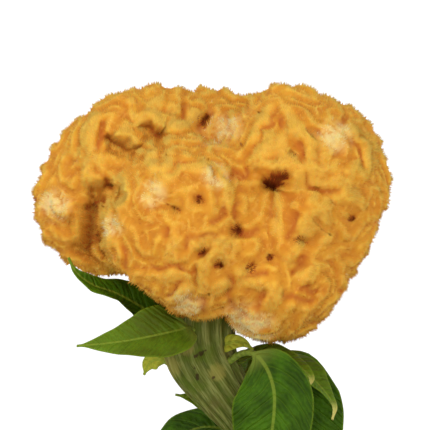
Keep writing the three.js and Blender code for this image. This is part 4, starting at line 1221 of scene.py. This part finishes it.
def turned(outline, sides):
    """Points and faces of an outline of radius and height turned round the pot's axis."""
    a = 2 * math.pi * np.arange(sides) / sides
    radius, level = outline[:, :1], outline[:, 1:]
    points = np.stack([radius * np.cos(a), radius * np.sin(a), level + 0 * a], axis=2)
    return points.reshape(-1, 3), ring_faces(len(outline) - 1, sides)


print("a softened corner has", len(softened([(0, 0), (9, 0), (9, 9)], 2)) - 2, "points")

# %% Shape of the pot
POT_HEIGHT = 112
POT_TOP = 65
POT_BASE = 43
POT_WALL = 6.5
POT_FLOOR = 8
RIM_BAND = 25
RIM_STEP = 4
RIM_DRAFT = 1.8
SOFT_CORNER = 1.8
POT_SIDES = 144


def outer_radius(level):
    """Half the pot's width at a height, without the rim band."""
    return lerp(POT_BASE, POT_TOP, level / POT_HEIGHT)


def inner_radius(level):
    """Half the width of the hollow at a height."""
    return outer_radius(level) - POT_WALL


band = POT_HEIGHT - RIM_BAND
pot_outline = [
    (0, 0),
    (POT_BASE, 0),
    (outer_radius(band) - RIM_STEP, band),
    (POT_TOP - RIM_DRAFT, band),
    (POT_TOP, POT_HEIGHT),
    (inner_radius(POT_HEIGHT), POT_HEIGHT),
    (inner_radius(POT_FLOOR), POT_FLOOR),
    (0, POT_FLOOR),
]
points, faces = turned(divided(softened(pot_outline, SOFT_CORNER), 3.0), POT_SIDES)
turning = 0.12 * np.sin(points[:, 2] * 2.1 + waves(points, 61, 60)) + 0.15 * waves(points, 62, 45)
outside = np.linalg.norm(points[:, :2], axis=1) > inner_radius(points[:, 2]) + 2
points[:, :2] *= 1 + (turning * outside / 60)[:, None]
print("pot: wall of", round(outer_radius(50) - inner_radius(50), 1), "mm, unevenness up to",
      round(abs(turning).max(), 2), "mm")

# %% Drain holes
DRAIN_RADIUS = 5
DRAIN_CIRCLE = 20
PAST_FLOOR = 2
DRAIN_SIDES = 32
WELDED = ("WELD", {"merge_threshold": 0.001 * MM})

low, high = -PAST_FLOOR, POT_FLOOR + PAST_FLOOR
drill_outline = np.array([(0, low), (DRAIN_RADIUS, low), (DRAIN_RADIUS, high), (0, high)], dtype=float)
drill, drill_faces = turned(drill_outline, DRAIN_SIDES)
drains = [DRAIN_CIRCLE * np.array([math.cos(a), math.sin(a), 0]) for a in np.radians([90, 210, 330])]
drill_points = np.vstack([drill + drain for drain in drains]) * MM
drill_faces = np.vstack([drill_faces + i * len(drill) for i in range(len(drains))])
drill_mesh = reshaped(make_mesh("drills", drill_points, drill_faces[:, ::-1]), WELDED)
drills = bpy.data.objects.new("drills", drill_mesh)
bpy.context.scene.collection.objects.link(drills)
cut = ("BOOLEAN", {"object": drills, "operation": "DIFFERENCE", "solver": "EXACT"})
pot_mesh = reshaped(make_mesh("pot_clay", points * MM, faces[:, ::-1]), WELDED, cut)
bpy.data.objects.remove(drills)
print("pot:", len(pot_mesh.polygons), "faces")

# %% The finish of the pot
clay = Finish("terracotta_clay", Specular_IOR_Level=0.25)
level = clay.node("SeparateXYZ", {}, {0: clay.place()}, output=2)
cloud = clay.noise(24 * MM, 4.0)
speck = clay.noise(0.8 * MM, 2.0)
lime = clay.noise(13 * MM, 5.0) + (1 - level.step(0, 0.03)) * 0.12
damp = level.step(0.060, 0.088) * (1 - level.step(0.095, 0.111))
rings = clay.node("Math", {"operation": "SINE"}, {0: level * 2400 + cloud * 4})
fired = clay.mix(colour("b9694a"), colour("cb8058"), cloud.step(0.38, 0.62))
fired = clay.coats(
    fired,
    ("a55a3c", damp, 0.35),
    ("dcb396", lime.step(0.58, 0.82), 0.55),
    ("8f4c30", speck.step(0.62, 0.78), 0.5),
)
clay_finish = clay.paint(
    Base_Color=fired,
    Roughness=speck * 0.12 + 0.78,
    Normal=clay.bump(rings * 0.12 + speck * 0.3 + cloud * 0.3, 0.6 * MM, 0.6),
)
print("nodes in the finish of the pot:", len(clay.tree.nodes))
make_piece("pot_clay", pot_mesh, clay_finish, ["pot"])

# %% [markdown]
# ## The soil: a bed and its crumbs
#
# Potting soil is loose: fine dust between crumbs of every size, with pale grains of
# perlite. The bed is a turned outline whose top is pushed up and down by waves. The crumbs
# are small lumps of twenty facets, half sunk into it, and they stay inside the wall.

# %% Shape of the soil
SOIL_LEVEL = 100
SOIL_BOTTOM = POT_FLOOR + 0.5
SOIL_SIDES = 180
STEM_FOOT = (8.6, 1, 0)


def soil_level(points):
    """Height of the soil's surface at points in millimetres, a little raised round the stem."""
    flat = points * [1, 1, 0]
    stem_away = np.linalg.norm(flat - STEM_FOOT, axis=1)
    rise = 0.8 * waves(flat, 71, 34) + 0.55 * waves(flat, 72, 8) + 0.4 * waves(flat, 73, 3.2)
    return SOIL_LEVEL + rise + 1.6 * (1 - ease(7, 15, stem_away))


edge = inner_radius(SOIL_LEVEL) - 0.5
foot = inner_radius(POT_FLOOR) - 1
soil_outline = np.array([(0, SOIL_LEVEL), (edge, SOIL_LEVEL), (foot, SOIL_BOTTOM), (0, SOIL_BOTTOM)])
points, faces = turned(divided(soil_outline, 1.3), SOIL_SIDES)
top = points[:, 2] > SOIL_LEVEL - 0.01
points[top, 2] = soil_level(points[top])
soil_bed = reshaped(make_mesh("soil_bed", points * MM, faces), WELDED)
print("soil bed:", len(soil_bed.polygons), "faces, top from", points[top, 2].min().round(1), "to",
      points[top, 2].max().round(1), "mm")

# %% Crumbs and grains
# how many, and how large the largest is, in millimetres
CRUMBS = (1500, 2.6)
GRAINS = (90, 1.5)
SMALLEST = 0.45


def lumps(centres, sizes, seed):
    """Points and triangles of uneven lumps of twenty facets."""
    random = np.random.default_rng(seed)
    gold = (1 + math.sqrt(5)) / 2
    corners = np.array([(x, y * gold, 0) for x in (-1, 1) for y in (-1, 1)])
    shape = unit(np.vstack([np.roll(corners, turn, axis=1) for turn in range(3)]))
    gaps = np.linalg.norm(shape[:, None] - shape[None], axis=2)
    joined = (gaps > 0.1) & (gaps < 1.2)
    trios = [trio for trio in combinations(range(12), 3) if joined[np.ix_(trio, trio)].sum() == 6]
    sides = [(i, j, k) if np.linalg.det(shape[[i, j, k]]) > 0 else (i, k, j) for i, j, k in trios]
    count = len(centres)
    uneven = shape[None] * random.uniform(0.7, 1.25, (count, 12, 1))
    stretch = random.uniform(0.65, 1.2, (count, 1, 3))
    turns = random.uniform(0, 2 * math.pi, count)
    c, s = np.cos(turns)[:, None], np.sin(turns)[:, None]
    x, y, z = np.moveaxis(uneven * stretch, 2, 0)
    made = np.stack([c * x - s * y, s * x + c * y, z], axis=2) * sizes[:, None, None] + centres[:, None]
    faces = 12 * np.arange(count)[:, None, None] + np.array(sides)
    return made.reshape(-1, 3), faces.reshape(-1, 3)


def strewn(count, largest, seed):
    """Centres on the soil and sizes of so many lumps, most of them small."""
    random = np.random.default_rng(seed)
    sizes = SMALLEST + (largest - SMALLEST) * random.random(count) ** 3
    away = np.sqrt(random.random(count)) * (edge - sizes - 0.5)
    a = random.uniform(0, 2 * math.pi, count)
    centres = np.stack([away * np.cos(a), away * np.sin(a), 0 * a], axis=1)
    centres[:, 2] = soil_level(centres) + sizes * random.uniform(-0.3, 0.35, count)
    return centres, sizes


print("a crumb in the middle, mm:", lumps(np.zeros((1, 3)), np.ones(1), 1)[0].max(axis=0).round(2))

# %% The finish of the soil
peat = Finish("soil_peat", Specular_IOR_Level=0.2)
crumb = peat.noise(1.6 * MM, 4.0)
wet = peat.noise(12 * MM, 2.0)
humus = peat.mix(colour("2a1d14"), colour("4f3a28"), crumb.step(0.4, 0.66))
peat_finish = peat.paint(
    Base_Color=peat.coats(humus, ("6b523a", wet.step(0.52, 0.72) * crumb.step(0.5, 0.7), 1)),
    Roughness=wet * 0.15 + 0.8,
    Normal=peat.bump(crumb, 0.8 * MM, 0.8),
)
perlite = Finish("soil_perlite", Specular_IOR_Level=0.3)
pitted = perlite.noise(0.5 * MM, 2.0)
perlite_finish = perlite.paint(
    Base_Color=perlite.mix(colour("e6e2d6"), colour("c2b8a4"), pitted.step(0.5, 0.7)),
    Roughness=pitted * 0.1 + 0.8,
    Normal=perlite.bump(pitted, 0.3 * MM, 0.8),
)
print("nodes in the finishes of the soil:", len(peat.tree.nodes), "and", len(perlite.tree.nodes))

# %% The soil
make_piece("soil_bed", soil_bed, peat_finish, ["soil"])
strewing = {"soil_crumbs": (CRUMBS, peat_finish), "soil_perlite": (GRAINS, perlite_finish)}
for name, ((count, largest), finish) in strewing.items():
    made, faces = lumps(*strewn(count, largest, 75 + count), 76)
    mesh = make_mesh(name, made * MM, faces)
    mesh.polygons.foreach_set("use_smooth", np.full(len(faces), False))
    make_piece(name, mesh, finish, ["soil"])

# %% [markdown]
# ## Stage, light and camera
#
# The plant is shown on a pale floor in even studio light, with a bright sky all round and two
# soft lamps in front, the stronger one high on the left. It is seen with a long lens, so that
# the head fills the picture and the pot stays below its lower edge.

# %% Stage
STAGE_RADIUS = 2.4
stage_finish = Finish("stage_white", Base_Color=colour("f4f4f2"), Roughness=0.9).material
bpy.ops.mesh.primitive_circle_add(vertices=128, radius=STAGE_RADIUS, fill_type="NGON")
floor = bpy.context.object
floor.name = "floor"
floor.data.materials.append(stage_finish)
print("floor:", 2 * STAGE_RADIUS, "m across")

# %% Light
SKY_LEVEL = 1.15
# how much weaker the sky is high above and far below
SKY_DROP = 0.53
HEAD_MIDDLE = (0, 0, 0.25)

scene = bpy.context.scene
scene.view_settings.view_transform = "Standard"
scene.world = bpy.data.worlds.new("studio")
scene.world.use_nodes = True
studio = Nodes(scene.world.node_tree)
slope = abs(studio.node("SeparateXYZ", {}, {0: studio.node("TexCoord")}, output=2))
sky = studio.tree.nodes["Background"].inputs
studio.plug(sky["Strength"], SKY_LEVEL - slope.step(0.12, 0.45) * SKY_DROP)
studio.plug(sky["Color"], (1, 1, 1, 1))


def softbox(name, place, size, power):
    """A square lamp at a place, turned to the head."""
    lamp = bpy.data.lights.new(name, "AREA")
    lamp.size = size
    lamp.energy = power
    holder = bpy.data.objects.new(name, lamp)
    holder.location = place
    holder.rotation_euler = (Vector(HEAD_MIDDLE) - Vector(place)).to_track_quat("-Z", "Y").to_euler()
    scene.collection.objects.link(holder)
    print(f"{name}: {power} W")


softbox("key", (-0.7, -1.3, 1.5), size=0.9, power=9.5)
softbox("fill", (0.5, -1.9, 0.4), size=0.9, power=5)

# %% Camera
PICTURE_WIDTH = 150.5 * MM
PICTURE_CENTRE = Vector((-10 * MM, 0, 254.8 * MM))
CAMERA_DISTANCE = 1.5

camera = bpy.data.objects.new("camera", bpy.data.cameras.new("camera"))
camera.location = PICTURE_CENTRE + Vector((0, -CAMERA_DISTANCE, 0))
camera.rotation_euler = (math.radians(90), 0, 0)
camera.data.lens = camera.data.sensor_width * CAMERA_DISTANCE / PICTURE_WIDTH
scene.collection.objects.link(camera)
scene.camera = camera
print("lens:", round(camera.data.lens), "mm")
